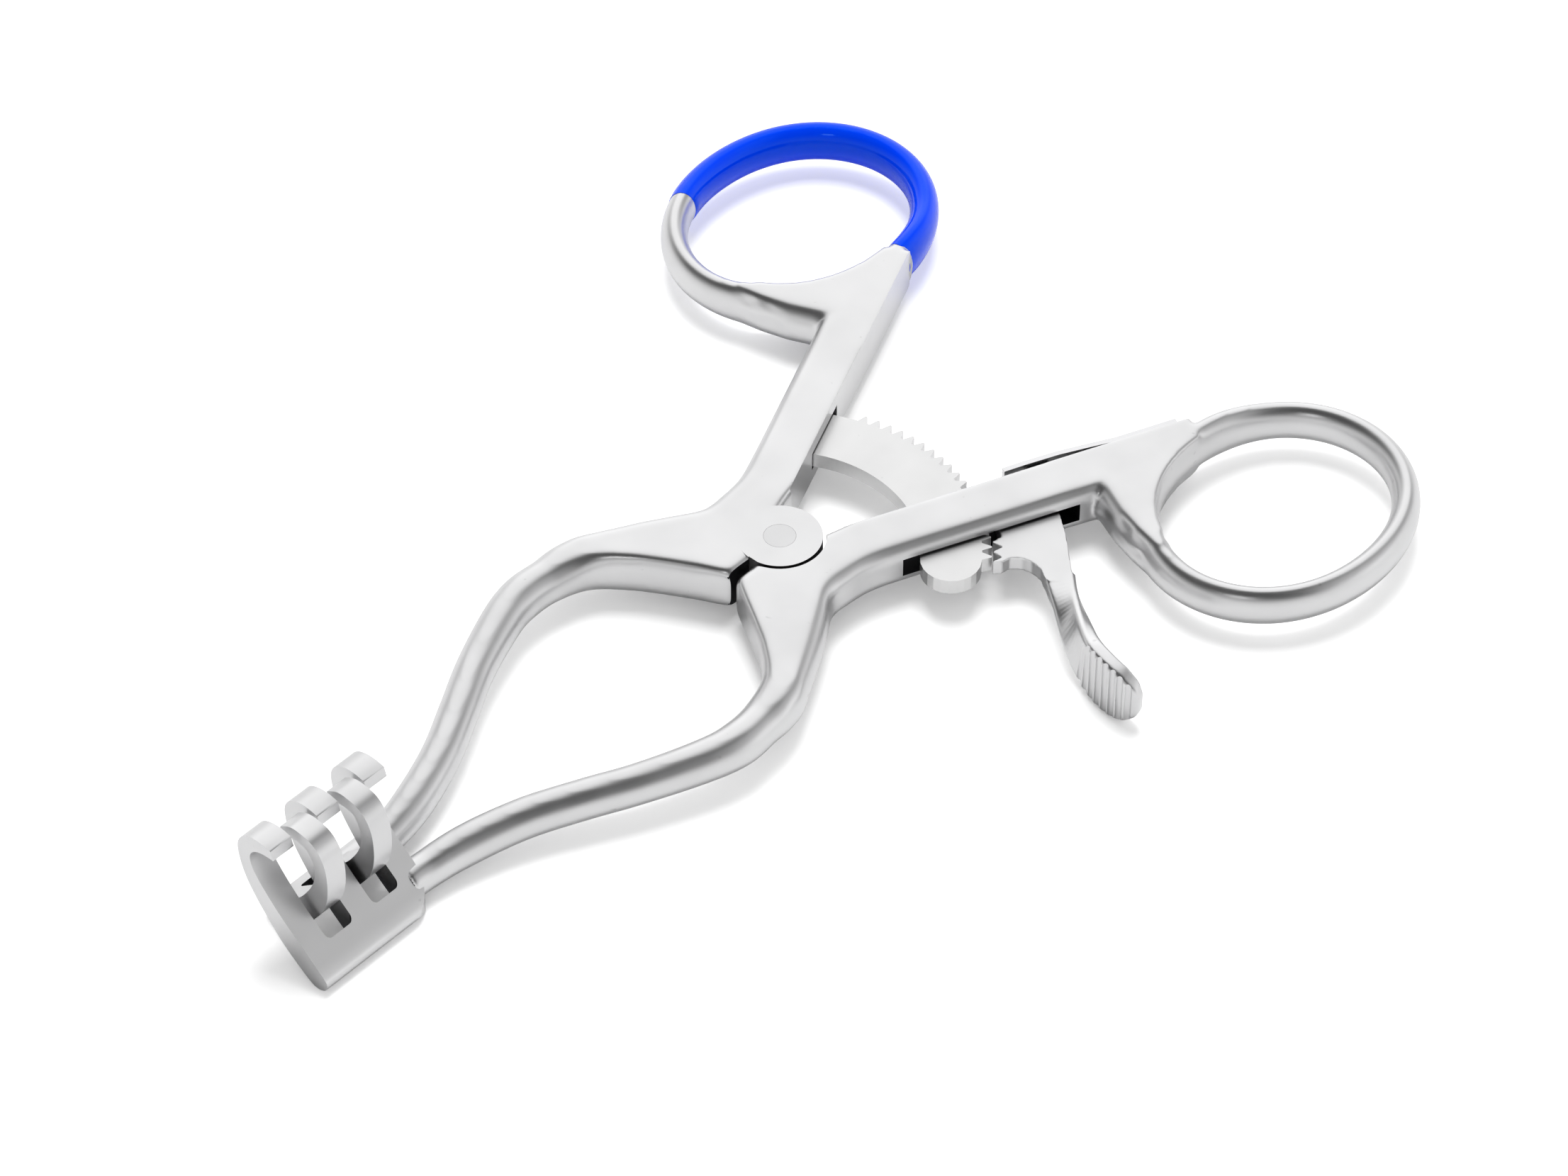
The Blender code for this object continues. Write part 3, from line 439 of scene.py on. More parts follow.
# %% [markdown]
# ## Drilling and shading
#
# Holes and bosses are round, so a cone with equal ends cuts or adds them. Smooth shading
# with sharp edges kept is what makes a milled edge read as an edge. The weighted normals
# keep the large flat faces from taking a tilt from the thin bevels beside them.

# %% Round posts and even shading
def drill(item, radius, start, stop, operation="DIFFERENCE", sides=64):
    """Cut or add a round post between two places in mm."""
    start = Vector(start)
    axis = Vector(stop) - start
    bm = bmesh.new()
    bmesh.ops.create_cone(bm, cap_ends=True, segments=sides, radius1=radius * MM,
                          radius2=radius * MM, depth=axis.length * MM)
    turn = axis.to_track_quat("Z", "Y").to_matrix().to_4x4()
    place = Matrix.Translation((start + axis / 2) * MM) @ turn
    bmesh.ops.transform(bm, matrix=place, verts=bm.verts)
    return cut(item, to_object("post", bm), operation)


def crisp(item, angle=32):
    """Smooth the curved skin and keep the milled edges sharp."""
    item.data.shade_smooth()
    item.data.set_sharp_from_angle(angle=math.radians(angle))
    even = item.modifiers.new("even shading", "WEIGHTED_NORMAL")
    even.keep_sharp = True
    even.weight = 100
    return item


test_plate = flat_plate("test plate", [(0, 0), (4, 0), (4, 4), (0, 4)], 0, 2)
drill(test_plate, 1, (2, 2, -1), (2, 2, 3))
print("a drilled test plate has", len(test_plate.data.polygons), "faces")
bpy.data.objects.remove(test_plate, do_unlink=True)

# %% [markdown]
# ## Lap joint
#
# Half of each arm's height is milled away round the pivot, and a round boss of the other
# half is left standing. The thin line round the boss is the room the joint needs to turn.
# The upper arm also has a small pocket beside its boss, which shows as a dark notch.
# The pivot's hole goes through both halves, with a wider sink at each end for a flat head.
# Round posts cut and add all of it, which keeps every circle true to the pivot.

# %% Mill the lap and drill the pivot
BOSS_RADIUS = 4.5
BOSS_ROOM = 0.4
LAP_ROOM = 0.15
POCKET = [(-7.5, 0.25), (-4.4, 0.25), (-4.4, -3), (-7.5, -3)]
PIVOT_HOLE = 1.28
HEAD_HOLE = 1.715
HEAD_DEPTH = 1


def mill_lap(arm, side):
    below, above = -OVERSHOOT, THICKNESS + OVERSHOOT
    if side == 1:
        face = MIDDLE + LAP_ROOM
        away, boss, head = (below, face), (face, THICKNESS), (THICKNESS - HEAD_DEPTH, above)
    else:
        face = MIDDLE - LAP_ROOM
        away, boss, head = (face, above), (0, face), (below, HEAD_DEPTH)
    drill(arm, BOSS_RADIUS + BOSS_ROOM, (0, 0, away[0]), (0, 0, away[1]), sides=128)
    drill(arm, BOSS_RADIUS, (0, 0, boss[0]), (0, 0, boss[1]), "UNION", sides=128)
    if side == 1:
        cut(arm, flat_plate("pocket", POCKET, -1, THICKNESS + 1))
    drill(arm, PIVOT_HOLE, (0, 0, below), (0, 0, above))
    drill(arm, HEAD_HOLE, (0, 0, head[0]), (0, 0, head[1]))


print("the boss is", 2 * BOSS_RADIUS, "mm wide and turns with", BOSS_ROOM, "mm of room")

# %% [markdown]
# ## Hooked blades
#
# The blades are plates with tall windows, so that the prongs of one arm stand in the gaps
# of the other. Their tips curl over like fingers. A side profile is raised to a plate, one
# for each arm because the upper hooks stand more upright. The windows are cut through it,
# its foot is rounded off, and its edges are broken with a small bevel.

# %% Blade plate and windows
# the side view of a blade: how far past the middle line from its own arm, and how high
LOWER_PROFILE = [(-5.9, -1.1), (-5.2, -1.6), (-4.3, -1.7), (-2.8, -0.85), (-0.1, 1.35),
                 (1.7, 3.4), (3.2, 5.35), (4.4, 7.3), (5.1, 9.2), (5.4, 11.0), (5.2, 12.4),
                 (4.4, 13.5), (3.1, 14.1), (1.8, 14.2), (0.6, 14.0), (0.3, 12.9), (1.6, 12.8),
                 (2.8, 12.4), (3.6, 11.5), (3.7, 10.4), (3.3, 9.3), (2.4, 8.0), (1.1, 6.5),
                 (-0.6, 4.8), (-2.6, 3.07), (-4.1, 1.77), (-5.45, 0.6), (-6.1, -0.2)]
UPPER_PROFILE = [(-5.9, -1.1), (-5.2, -1.6), (-4.3, -1.7), (-2.8, -0.85), (-0.1, 1.35),
                 (1.5, 3.45), (2.7, 5.4), (3.3, 7.3), (3.5, 9.2), (3.4, 11.2), (2.9, 12.8),
                 (2.0, 13.9), (0.7, 14.4), (-1.2, 14.4), (-2.7, 13.5), (-2.8, 12.3),
                 (-1.0, 12.95), (0.7, 12.8), (1.5, 11.8), (1.8, 10.5), (1.7, 9.3), (1.3, 8.0),
                 (0.5, 6.5), (-0.7, 4.8), (-2.6, 3.07), (-4.1, 1.77), (-5.45, 0.6), (-6.1, -0.2)]
TIP_CORNERS = {14, 15}
WINDOW_START = 3.6
WINDOW_REACH = 12
WINDOW_HEIGHT = 26
WINDOW_MIDDLE = 8
WINDOW_ROUND = 0.6
TOE = 6.2
FOOT_ROUND = 3.4
BROKEN_EDGE = 0.14


def fair_profile(places, corners, cuts=4):
    """More points on a closed outline, curved through all but its corners."""
    count = len(places)
    made = []
    for i in range(count):
        a, b, c, d = (Vector(places[(i + k) % count]) for k in (-1, 0, 1, 2))
        if i in corners:
            a = b
        if (i + 1) % count in corners:
            d = c
        made += [between(a, b, c, d, k / cuts) for k in range(cuts)]
    return made


def cut_window(plate, side, low, high):
    """Cut the room between two prongs, with rounded corners at its foot."""
    near, far = sorted((side * WINDOW_START, -side * WINDOW_REACH))
    bm = bmesh.new()
    bmesh.ops.create_cube(bm, size=1)
    size = Matrix.Diagonal(((high - low) * MM, (far - near) * MM, WINDOW_HEIGHT * MM, 1))
    middle = Vector(((low + high) / 2, (near + far) / 2, WINDOW_MIDDLE))
    bmesh.ops.transform(bm, matrix=Matrix.Translation(middle * MM) @ size, verts=bm.verts)
    upright = [edge for edge in bm.edges if edge.calc_length() > 20 * MM]
    bmesh.ops.bevel(bm, geom=upright, offset=WINDOW_ROUND * MM, offset_type="OFFSET",
                    affect="EDGES", segments=5, profile=0.5, material=-1)
    cut(plate, to_object("window", bm))


def round_foot(plate, side, end):
    """Round the corner where the blade's foot meets its outer side."""
    turns = [math.radians(10 * k - 90) for k in range(10)]
    foot = [(end + FOOT_ROUND * (math.cos(t) - 1), FOOT_ROUND * (math.sin(t) + 1) - TOE)
            for t in turns]
    foot += [(end + 1, FOOT_ROUND - TOE), (end + 1, -TOE - 1), (end - FOOT_ROUND, -TOE - 1)]
    cut(plate, flat_plate("foot", [(x, -side * y) for x, y in foot], -3, 3))


def add_blade(arm, side):
    starts, width = prongs(side)
    profile = UPPER_PROFILE if side == 1 else LOWER_PROFILE
    end = starts[-1] + width
    plate = flat_plate("blade", fair_profile(profile, TIP_CORNERS), starts[0], end)
    stand = Matrix(((0, 0, 1, 0), (-side, 0, 0, 0), (0, 1, 0, 0), (0, 0, 0, 1)))
    bm = bmesh.new()
    bm.from_mesh(plate.data)
    bmesh.ops.transform(bm, matrix=stand, verts=bm.verts)
    bmesh.ops.recalc_face_normals(bm, faces=bm.faces)
    bm.to_mesh(plate.data)
    bm.free()
    for start, following in zip(starts, starts[1:]):
        cut_window(plate, side, start + width, following)
    round_foot(plate, side, end)
    broken = plate.modifiers.new("broken edges", "BEVEL")
    broken.width = BROKEN_EDGE * MM
    broken.segments = 2
    broken.limit_method = "ANGLE"
    broken.angle_limit = math.radians(50)
    applied(plate)
    cut(arm, plate, "UNION")


print("prongs:", len(prongs(1)[0]), "on the upper arm and", len(prongs(-1)[0]), "on the lower")

# %% [markdown]
# ## Slots for the rack and the thumb lever
#
# The rack is riveted into a seat in one arm and slides through a long slot in the other. The
# slot is cut right through the shank, and the seat stays closed on the outside. A plate in
# the outline of each is all the cutter that this takes, and the spring's screw gets a hole.

# %% Mill the slots
RACK_HEIGHTS = (MIDDLE - 1.15, MIDDLE + 1.15)
SEAT_RADII = (14.25, 22.35)
SEAT_TURNS = (18, 38)
SLOT_ENDS = (10.8, 31.2)
PIN_ALONG = 24.3
SCREW_ALONG = 42.0
PIN_HOLE = 0.88


def arc(radius, first, last, count):
    """Places on an arc about the pivot, with the angles in degrees."""
    turns = [math.radians(first + (last - first) * i / (count - 1)) for i in range(count)]
    return [(radius * math.cos(t), radius * math.sin(t)) for t in turns]


def cut_upper_slot(arm):
    (inner, outer), (first, last) = SEAT_RADII, SEAT_TURNS
    outline = arc(outer, first, last, 24) + arc(inner, last, first, 24)
    cut(arm, flat_plate("rack seat", outline, *RACK_HEIGHTS))


def cut_lower_slot(arm):
    first, last = SLOT_ENDS
    near, far = INNER - 2, OUTER + 6
    corners = [(first, near), (last, near), (last, far), (first, far)]
    outline = [along_shank(*corner, -1) for corner in corners]
    cut(arm, flat_plate("slot", outline, *RACK_HEIGHTS))
    mouth = along_shank(SCREW_ALONG, INNER - 1.5, -1)
    bottom = along_shank(SCREW_ALONG, INNER + 3.2, -1)
    drill(arm, PIN_HOLE, (*mouth, MIDDLE), (*bottom, MIDDLE))


print("the lower slot is", round(SLOT_ENDS[1] - SLOT_ENDS[0], 1), "mm long")

# %% [markdown]
# ## The arms, and their painted shade
#
# The walls of the slots, the lap and the windows lie in deep shade, and that shade is painted on
# them as a nearly black steel. These faces are found by where they lie and which way they face, and
# they get materials of their own below. A painted mask could do it, but faces are exact.

# %% Make both arms
def in_pocket(x, y):
    return POCKET[0][0] - 0.1 < x < POCKET[1][0] and abs(y - POCKET[0][1]) < 0.02


def in_slot(x, y, z, side):
    along = x * math.cos(SLOPE) + side * y * math.sin(SLOPE)
    out = side * y * math.cos(SLOPE) - x * math.sin(SLOPE)
    low, high = RACK_HEIGHTS
    return 10 < along < 32 and INNER + 0.2 < out < OUTER + 2 and low - 0.01 < z < high + 0.01


def in_lap(x, y):
    return abs(math.hypot(x, y) - BOSS_RADIUS - BOSS_ROOM) < 0.1


def in_window(x, y, side):
    return x < BLADE_END + 3 * PRONG_PITCH and abs(side * y - WINDOW_START) < WINDOW_ROUND + 0.05


def prong_sides(arm, side):
    """The upright faces between the prongs of a blade."""
    starts, width = prongs(side)
    return [face for face in arm.data.polygons
            if abs(face.normal.x) > 0.9
            and starts[0] + 0.5 < face.center.x / MM < starts[-1] + width - 0.5]


def painted_shade_walls(arm, side):
    """Faces inside the slot, lap, pocket and windows, which get painted shade: a nearly black
    steel.
    """
    found = []
    for face in arm.data.polygons:
        x, y, z = face.center / MM
        level = abs(face.normal.z)
        if ((in_slot(x, y, z, side) and (level > 0.9 or face.area > 1e-6))
                or (in_lap(x, y) and level < 0.5)
                or (in_pocket(x, y) and side == 1)
                or (in_window(x, y, side) and level < 0.1)):
            found.append(face)
    return found


def make_arm(side, name, body, hidden):
    arm = forged_blank(side)
    mill_lap(arm, side)
    add_blade(arm, side)
    if side == 1:
        cut_upper_slot(arm)
    else:
        cut_lower_slot(arm)
    arm.name = "forged_" + name
    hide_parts(name, hidden)
    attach(arm, body)
    return crisp(arm)


upper_arm = make_arm(1, "upper_arm", "upper", "rack_rivet")
lower_arm = make_arm(-1, "lower_arm", "lower", "pawl_pin")
print("arms:", len(upper_arm.data.polygons), len(lower_arm.data.polygons), "faces")

# %% [markdown]
# ## Dipped coating
#
# Coloured rings tell instruments apart. The real one is a glossy plastic skin over part of
# the ring, with clean ends. It could be a copy of the ring's faces pushed out, but sections
# along the ring's own oval give it rolled ends, and it grows with the ring near the web.

# %% Coating over the ring
COATED = (-80, 122)
SKIN = 0.16


def swept_ring(name, width, height, first, last, steps=96):
    """A length of the ring's oval rod, with rolled ends."""
    sections = []
    ends = [0.9, 0.97] + [1] * (steps - 3) + [0.97, 0.9]
    turns = [first + (last - first) * i / steps for i in range(steps + 1)]
    turns[1] = turns[0] + 0.3
    turns[-2] = turns[-1] - 0.3
    for turn, share in zip(turns, ends):
        angle = math.radians(turn)
        reach = ring_radius(angle)
        out = Vector((math.cos(angle), math.sin(angle), 0))
        web = web_share(angle)
        tall = height + (THICKNESS - RING_HEIGHT) * web
        middle = RING_MIDDLE + (MIDDLE - RING_MIDDLE) * web
        centre = Vector((*RING_CENTRE, middle)) + out * reach
        places = []
        for k in range(36):
            round_turn = 2 * math.pi * k / 36
            places.append(centre + out * share * width / 2 * math.cos(round_turn)
                          + Vector((0, 0, share * tall / 2 * math.sin(round_turn))))
        sections.append(places)
    bm = bmesh.new()
    bridged(bm, sections)
    return to_object(name, bm)


coating = swept_ring("dipped_coating", RING_WIDTH + SKIN, RING_HEIGHT + SKIN, *COATED)
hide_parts("ring_coating")
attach(coating, "upper")
crisp(coating, 50)
print("coating:", len(coating.data.polygons), "faces")

# %% [markdown]
# ## Thumb lever
#
# The lever is a flat pawl whose neck is twisted a quarter turn, so that its pad stands
# upright for the thumb. The flat part is a plate with three teeth. The twist is a row of
# sections, each turned a little further, and round cutters leave the grooves of the pad.

# %% Shape of the thumb lever
HALF_PLATE = 0.9
TOOTH_COUNT = 3
TOOTH_PITCH = 3.81
FIRST_TOOTH = -52.6
TIP_RADIUS = 22.12
ROOT_RADIUS = 23.1
BACK_RADIUS = 22.9
TIP_SHARE = 0.07
PAD_ROLL = 0.32
# middle of the neck and pad, width, thickness, turn in degrees
PAD = [(16.8, -23.8, 2.7, 3.4, 1.8, 0), (15.5, -25.4, 2.7, 3.1, 1.8, 6),
       (14.3, -27.1, 2.65, 3.0, 1.8, 22), (13.1, -28.8, 2.6, 3.3, 1.8, 44),
       (11.9, -30.6, 2.45, 4.2, 1.8, 66), (10.9, -32.4, 2.2, 5.6, 1.8, 82),
       (10.0, -34.4, 2.0, 6.9, 1.9, 89), (9.4, -36.8, 1.9, 7.1, 1.9, 90),
       (9.2, -38.9, 1.9, 6.4, 1.9, 90), (9.4, -40.4, 1.9, 4.4, 1.5, 90),
       (9.6, -41.0, 1.9, 2.1, 0.85, 90)]
GROOVE_FACE = [(9.75, -32.2), (9.0, -34.4), (8.45, -36.8), (8.25, -38.9), (8.6, -41.5)]
GROOVES = 8
GROOVE_PITCH = 1.05
GROOVE_RADIUS = 0.42
FIRST_GROOVE = -32.8


def lever_outline():
    def beside_pin(along, out):
        return along_shank(PIN_ALONG + along, out, -1)
    outline = [beside_pin(3.7, 0.75), beside_pin(0.7, 0.85), beside_pin(-1.4, 1.0)]
    outline += arc(BACK_RADIUS, -27.5, -40, 14)
    for i in range(TOOTH_COUNT):
        tip = FIRST_TOOTH + (TOOTH_COUNT - 1 - i) * TOOTH_PITCH
        outline += arc(ROOT_RADIUS, tip + 0.5 * TOOTH_PITCH, tip, 2)[:1]
        outline += arc(TIP_RADIUS, tip + TIP_SHARE * TOOTH_PITCH, tip - TIP_SHARE * TOOTH_PITCH, 2)
    outline += [(14.1, -18.3), (15.1, -18.5), (15.9, -19.4), (16.2, -20.6), (16.0, -22.0),
                (15.4, -22.9), (15.1, -23.6), (16.9, -25.7), (18.4, -24.0), (21.6, -20.6),
                (23.6, -18.0)]
    outline += [beside_pin(4.6, 5.8), beside_pin(4.6, 3.0), beside_pin(4.3, 1.3)]
    return outline


def pad_sections():
    """Sections of the neck and pad, turned further and further."""
    sections = []
    for i in range(len(PAD) - 1):
        a, b, c, d = (Vector(PAD[min(max(k, 0), len(PAD) - 1)]) for k in range(i - 1, i + 3))
        for k in range(4 + (i == len(PAD) - 2)):
            here = between(a, b, c, d, k / 4)
            ahead = (c - b).to_2d() if k else (c - a).to_2d()
            ahead = Vector((*ahead, 0)).normalized()
            turn = math.radians(min(max(here[5], 0), 90))
            wide = Vector((-ahead.y, ahead.x, 0)) * math.cos(turn)
            wide += Vector((0, 0, 1)) * math.sin(turn)
            thin = ahead.cross(wide)
            centre = Vector(here[:3])
            flat = rounded_section(Vector((0, 0)), Vector((here[3], 0)), here[4], 0,
                                   here[4] * PAD_ROLL, here[4] * PAD_ROLL)
            sections.append([centre + wide * (p.x - here[3] / 2) + thin * p.z for p in flat])
    return sections


def groove_x(y):
    """How far out the pad's grooved face stands at one y."""
    for (x0, y0), (x1, y1) in zip(GROOVE_FACE, GROOVE_FACE[1:]):
        if y1 <= y <= y0:
            return x0 + (x1 - x0) * (y - y0) / (y1 - y0)


print("lever outline has", len(lever_outline()), "corners")

# %% [markdown]
# ## Fused and grooved lever
#
# The plate and the twisted neck cross each other, so they are fused like the forging, with
# finer voxels because the lever is small. Grooves and pin hole are cut last and stay crisp.

# %% Make the thumb lever
FINE_VOXEL = 0.12 * MM


def make_lever():
    plate = flat_plate("lever plate", lever_outline(), MIDDLE - HALF_PLATE, MIDDLE + HALF_PLATE)
    bm = bmesh.new()
    bridged(bm, pad_sections())
    bm = merged(plate, to_object("pad", bm))
    lever = fused("lever", bm, 3, FINE_VOXEL)
    for i in range(GROOVES):
        y = FIRST_GROOVE - GROOVE_PITCH * i
        x = groove_x(y) - 0.08
        lean = 0.05 * (-1) ** i
        drill(lever, GROOVE_RADIUS, (x, y - lean, -6), (x, y + lean, 8), sides=24)
    pin = along_shank(PIN_ALONG, (INNER + OUTER) / 2, -1)
    drill(lever, PIN_HOLE, (*pin, -2), (*pin, 8))
    lever.name = "twisted_lever"
    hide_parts("pawl_lever")
    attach(lever, "pawl")
    return crisp(lever)


lever = make_lever()
print("lever:", len(lever.data.polygons), "faces")

# %% [markdown]
# ## Grain of blasted steel
#
# Fine glass beads leave thousands of tiny dents, so the metal scatters light softly and
# shows no brush lines. Noise on the object's own coordinates makes that grain, the cloudy
# gloss left by hands and washing, and a few dark specks. A painted image could do it too,
# but would have to be unwrapped and would blur close up.

# %% A shared group for grain, clouds and specks
def new_group(name, inputs, outputs):
    group = bpy.data.node_groups.new(name, "ShaderNodeTree")
    for label, value in inputs:
        socket = group.interface.new_socket(label, in_out="INPUT", socket_type="NodeSocketFloat")
        socket.default_value = value
    for label in outputs:
        group.interface.new_socket(label, in_out="OUTPUT", socket_type="NodeSocketFloat")
    return group


def noise(tree, place, scale, detail):
    node = tree.nodes.new("ShaderNodeTexNoise")
    node.inputs["Scale"].default_value = scale
    node.inputs["Detail"].default_value = detail
    tree.links.new(place, node.inputs["Vector"])
    return node.outputs["Fac"]


def spread(tree, value, low, high, to_low, to_high):
    """Map a value's range to another, and hold it inside."""
    node = tree.nodes.new("ShaderNodeMapRange")
    numbers = {"From Min": low, "From Max": high, "To Min": to_low, "To Max": to_high}
    for label, number in numbers.items():
        node.inputs[label].default_value = number
    tree.links.new(value, node.inputs["Value"])
    return node.outputs["Result"]


def combined(tree, operation, first, second):
    """Add or multiply two values."""
    node = tree.nodes.new("ShaderNodeMath")
    node.operation = operation
    tree.links.new(first, node.inputs[0])
    tree.links.new(second, node.inputs[1])
    return node.outputs["Value"]


def blasted_grain():
    group = new_group("blasted grain", [("Speck amount", 0.3)], ["Grain", "Clouds", "Specks"])
    take = group.nodes.new("NodeGroupInput")
    give = group.nodes.new("NodeGroupOutput")
    place = group.nodes.new("ShaderNodeTexCoord").outputs["Object"]
    group.links.new(noise(group, place, 4200, 2), give.inputs["Grain"])
    group.links.new(noise(group, place, 140, 3), give.inputs["Clouds"])
    dots = spread(group, noise(group, place, 900, 1), 0.76, 0.82, 0, 1)
    specks = combined(group, "MULTIPLY", dots, take.outputs["Speck amount"])
    group.links.new(specks, give.inputs["Specks"])
    return group


GRAIN = blasted_grain()
print("grain group has", len(GRAIN.nodes), "nodes")

# %% [markdown]
# ## Satin steel
#
# Metals get their colour from the reflection alone, so the base colour is the steel's own
# tint and the roughness decides how satin it looks. The clouds move both a little, which
# keeps the large flat faces from looking like paint.

# %% Satin steel
def mixed(tree, first, second, share):
    """Blend two colours, each a value or an output, by the share of the second."""
    node = tree.nodes.new("ShaderNodeMix")
    node.data_type = "RGBA"
    for label, colour in (("A", first), ("B", second)):
        if isinstance(colour, tuple):
            node.inputs[label].default_value = (*colour, 1)
        else:
            tree.links.new(colour, node.inputs[label])
    tree.links.new(share, node.inputs["Factor"])
    return node.outputs["Result"]


def dented(tree, height, strength, distance):
    """Let a height dent the skin of the tree's shader, with the distance in mm."""
    bump = tree.nodes.new("ShaderNodeBump")
    bump.inputs["Strength"].default_value = strength
    bump.inputs["Distance"].default_value = distance * MM
    tree.links.new(height, bump.inputs["Height"])
    tree.links.new(bump.outputs["Normal"], tree.nodes["Principled BSDF"].inputs["Normal"])


def new_material(name):
    material = bpy.data.materials.new(name)
    material.use_nodes = True
    return material, material.node_tree, material.node_tree.nodes["Principled BSDF"].inputs


def satin_steel(name, colour, roughness, specks=0.3, grain=0.12):
    material, tree, skin = new_material(name)
    skin["Metallic"].default_value = 1
    group = tree.nodes.new("ShaderNodeGroup")
    group.node_tree = GRAIN
    group.inputs["Speck amount"].default_value = specks
    clouds = group.outputs["Clouds"]
    gloss = spread(tree, clouds, 0.3, 0.7, roughness - 0.04, roughness + 0.05)
    tree.links.new(gloss, skin["Roughness"])
    tint = mixed(tree, colour, tuple(c * 0.94 for c in colour), clouds)
    stain = mixed(tree, tint, tuple(c * 0.45 for c in colour), group.outputs["Specks"])
    tree.links.new(stain, skin["Base Color"])
    dented(tree, group.outputs["Grain"], grain, 0.02)
    return material


print("satin steel is made with", GRAIN.name)

# %% [markdown]
# ## Finishes of the steel pieces
#
# The walls in deep shade get a nearly black steel as painted shade. Between the prongs a painted
# shade rises from the foot of the blade and fades out upwards, which a gradient on the height
# makes. The rack is a little brighter than the arms, and the spring is polished.

# %% Dress the steel pieces
STEEL = (0.77, 0.77, 0.775)
DARK = (0.05, 0.05, 0.055)
FOOT_SHADE = (1.5, 9)


def paint_foot_shade(material):
    """Paint shade onto a steel towards the foot of a blade, fading out upwards."""
    tree = material.node_tree
    base = tree.nodes["Principled BSDF"].inputs["Base Color"]
    split = tree.nodes.new("ShaderNodeSeparateXYZ")
    tree.links.new(tree.nodes.new("ShaderNodeTexCoord").outputs["Object"], split.inputs["Vector"])
    low, high = FOOT_SHADE
    depth = spread(tree, split.outputs["Z"], low * MM, high * MM, 0.9, 0)
    tree.links.new(mixed(tree, base.links[0].from_socket, DARK, depth), base)
    return material


def dress(item, *materials):
    item.data.materials.clear()
    for material in materials:
        item.data.materials.append(material)


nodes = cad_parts
# The second material of each arm is painted shade on the walls in deep shade, and the third paints
# shade onto the prong sides, darker towards the foot.
for arm, side in ((upper_arm, 1), (lower_arm, -1)):
    dress(arm, satin_steel(arm.name + "_steel", STEEL, 0.33),
          satin_steel(arm.name + "_painted_shade", DARK, 0.5, 0),
          paint_foot_shade(satin_steel(arm.name + "_prong_shade", STEEL, 0.3)))
    for face in prong_sides(arm, side):
        face.material_index = 2
    for face in painted_shade_walls(arm, side):
        face.material_index = 1
dress(lever, satin_steel("lever_steel", STEEL, 0.3))
dress(nodes["ratchet_rack"], satin_steel("rack_steel", (0.8, 0.8, 0.8), 0.34))
dress(nodes["pivot_screw"], satin_steel("pivot_steel", (0.72, 0.72, 0.725), 0.36))
dress(nodes["leaf_spring"], satin_steel("spring_steel", (0.8, 0.8, 0.81), 0.25, 0.1, 0.05))
dress(nodes["spring_screw"], satin_steel("screw_steel", (0.68, 0.68, 0.7), 0.25, 0.1, 0.05))
print("materials so far:", len(bpy.data.materials))

# %% [markdown]
# ## Glossy blue
#
# The coating is a deep, even blue plastic. A full clear coat would mirror the white room and
# wash the blue out, so the coat is thin and the shine under it is tinted blue. A faint
# ripple bends what it mirrors, as on any dipped skin.

# %% Dipped blue
def dipped_blue():
    material, tree, skin = new_material("dipped_blue")
    skin["Coat Weight"].default_value = 0.12
    skin["Coat Roughness"].default_value = 0.03
    skin["Specular IOR Level"].default_value = 0.45
    skin["Specular Tint"].default_value = (0.1, 0.6, 1, 1)
    place = tree.nodes.new("ShaderNodeTexCoord").outputs["Object"]
    ripple = noise(tree, place, 260, 2)
    tree.links.new(spread(tree, ripple, 0.3, 0.7, 0.1, 0.2), skin["Roughness"])
    tint = mixed(tree, (0.0, 0.045, 0.95), (0.0, 0.06, 0.9), ripple)
    tree.links.new(tint, skin["Base Color"])
    dented(tree, ripple, 0.15, 0.05)
    return material


dress(coating, dipped_blue())
print("materials:", len(bpy.data.materials))

# %% [markdown]
# ## White table
#
# The photograph is high key: table and background are white, and only a soft shadow tells
# where the instrument lies. More light would bleach the metal too, so the table is lifted to
# white for the camera alone. The lift fades where the open sky over the table is hidden,
# which keeps the shadow close to the metal.

# %% White table
TABLE_TOP = -1.72
SHADE_REACH = 8


def white_table():
    bm = bmesh.new()
    bmesh.ops.create_grid(bm, x_segments=1, y_segments=1, size=2)
    floor = to_object("table", bm)
    floor.location.z = TABLE_TOP * MM
    material, tree, skin = new_material("white_table")
    skin["Base Color"].default_value = (0.88, 0.88, 0.88, 1)
    skin["Roughness"].default_value = 0.8
    skin["Specular IOR Level"].default_value = 0.2
    skin["Emission Color"].default_value = (1, 1, 1, 1)
    rays = tree.nodes.new("ShaderNodeLightPath")
    open_sky = tree.nodes.new("ShaderNodeAmbientOcclusion")
    open_sky.inputs["Distance"].default_value = SHADE_REACH * MM
    level = spread(tree, open_sky.outputs["AO"], 0.05, 0.6, 0.12, 0.42)
    lift = combined(tree, "MULTIPLY", rays.outputs["Is Camera Ray"], level)
    tree.links.new(lift, skin["Emission Strength"])
    dress(floor, material)


white_table()
print("table top at", TABLE_TOP, "mm")

# %% [markdown]
# ## Room and lamps
#
# Satin metal shows little but the room. A broad softbox behind lights the flat tops, the
# bright low walls light the sides, a card to one side lights the blade's face, and the dim
# ceiling gives the rolled edges their dark line. The room itself is white to the camera.
# The overhead lamp casts the shadow and isn't seen in reflections, where it would leave a
# hard spot. Cards of real geometry could do the same, but the room's colour costs nothing.

# %% Room and lamps
SOFTBOX = (0.523, 0.480, 0.704)
SIDE_CARD = (0.523, -0.629, 0.574)


def soft_lamp(name, place, size, watts):
    """A square lamp turned to the pivot."""
    data = bpy.data.lights.new(name, "AREA")
    data.size = size
    data.energy = watts
    lamp = bpy.data.objects.new(name, data)
    lamp.location = place
    lamp.rotation_euler = (-Vector(place)).to_track_quat("-Z", "Y").to_euler()
    bpy.context.scene.collection.objects.link(lamp)
    return lamp


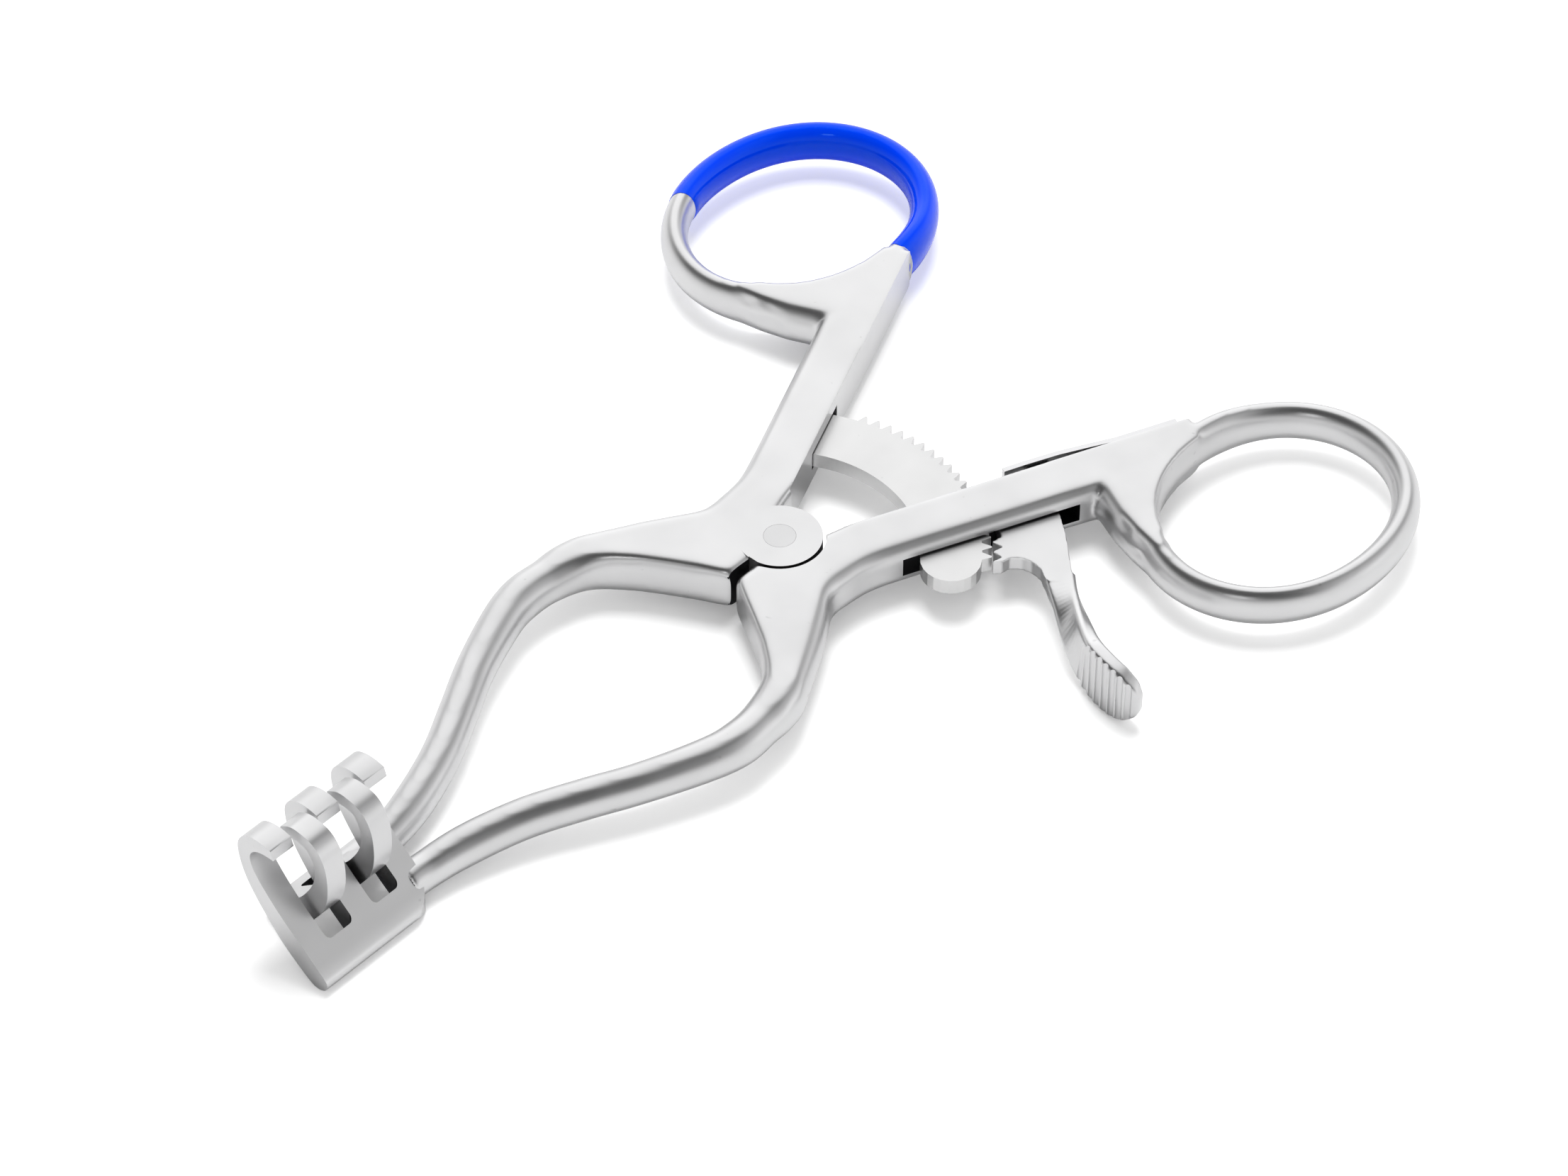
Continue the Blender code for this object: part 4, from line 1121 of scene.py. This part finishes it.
def glow(tree, place, toward, low, high, level):
    """A soft-edged bright patch of the room in one direction."""
    near = tree.nodes.new("ShaderNodeVectorMath")
    near.operation = "DOT_PRODUCT"
    near.inputs[1].default_value = toward
    tree.links.new(place, near.inputs[0])
    return spread(tree, near.outputs["Value"], low, high, 0, level)


def studio_room():
    """White to the camera; a softbox behind, bright low walls and a dim ceiling."""
    world = bpy.data.worlds.new("studio")
    world.use_nodes = True
    bpy.context.scene.world = world
    tree = world.node_tree
    back = tree.nodes["Background"]
    back.inputs["Strength"].default_value = 1
    place = tree.nodes.new("ShaderNodeTexCoord").outputs["Generated"]
    split = tree.nodes.new("ShaderNodeSeparateXYZ")
    tree.links.new(place, split.inputs["Vector"])
    walls = spread(tree, split.outputs["Z"], 0.1, 0.6, 0.95, 0.06)
    softbox = glow(tree, place, SOFTBOX, 0.76, 0.94, 1.1)
    card = glow(tree, place, SIDE_CARD, 0.8, 0.97, 0.5)
    level = combined(tree, "ADD", combined(tree, "ADD", walls, softbox), card)
    rays = tree.nodes.new("ShaderNodeLightPath")
    show = tree.nodes.new("ShaderNodeMix")
    tree.links.new(rays.outputs["Is Camera Ray"], show.inputs["Factor"])
    tree.links.new(level, show.inputs["A"])
    show.inputs["B"].default_value = 1
    tree.links.new(show.outputs["Result"], back.inputs["Color"])


studio_room()
overhead = soft_lamp("overhead", (0.13, 0.12, 0.65), 0.3, 3.3)
overhead.visible_glossy = False
soft_lamp("window", (-0.42, -0.25, 0.42), 0.12, 0.12)
print("lamps:", len(bpy.data.lights))

# %% [markdown]
# ## Camera
#
# The place and lens were worked out from the rings' ovals and the straight shanks in the
# photograph: a long lens from about 0.6 m, 45 degrees above the table.

# %% Camera
CAMERA_PLACE = (-0.3206, -0.2950, 0.4299)
CAMERA_AXES = Matrix(((0.6764, 0.5187, -0.5229), (-0.7366, 0.4763, -0.4802),
                      (0.0, 0.7100, 0.7042)))
data = bpy.data.cameras.new("camera")
data.lens = 134.94
data.sensor_width = 36
data.clip_start = 0.01
camera = bpy.data.objects.new("camera", data)
camera.location = CAMERA_PLACE
camera.rotation_euler = CAMERA_AXES.to_euler()
bpy.context.scene.collection.objects.link(camera)
bpy.context.scene.camera = camera
bpy.context.scene.view_settings.view_transform = "Standard"
print("camera", round(Vector(CAMERA_PLACE).length, 3), "m away")
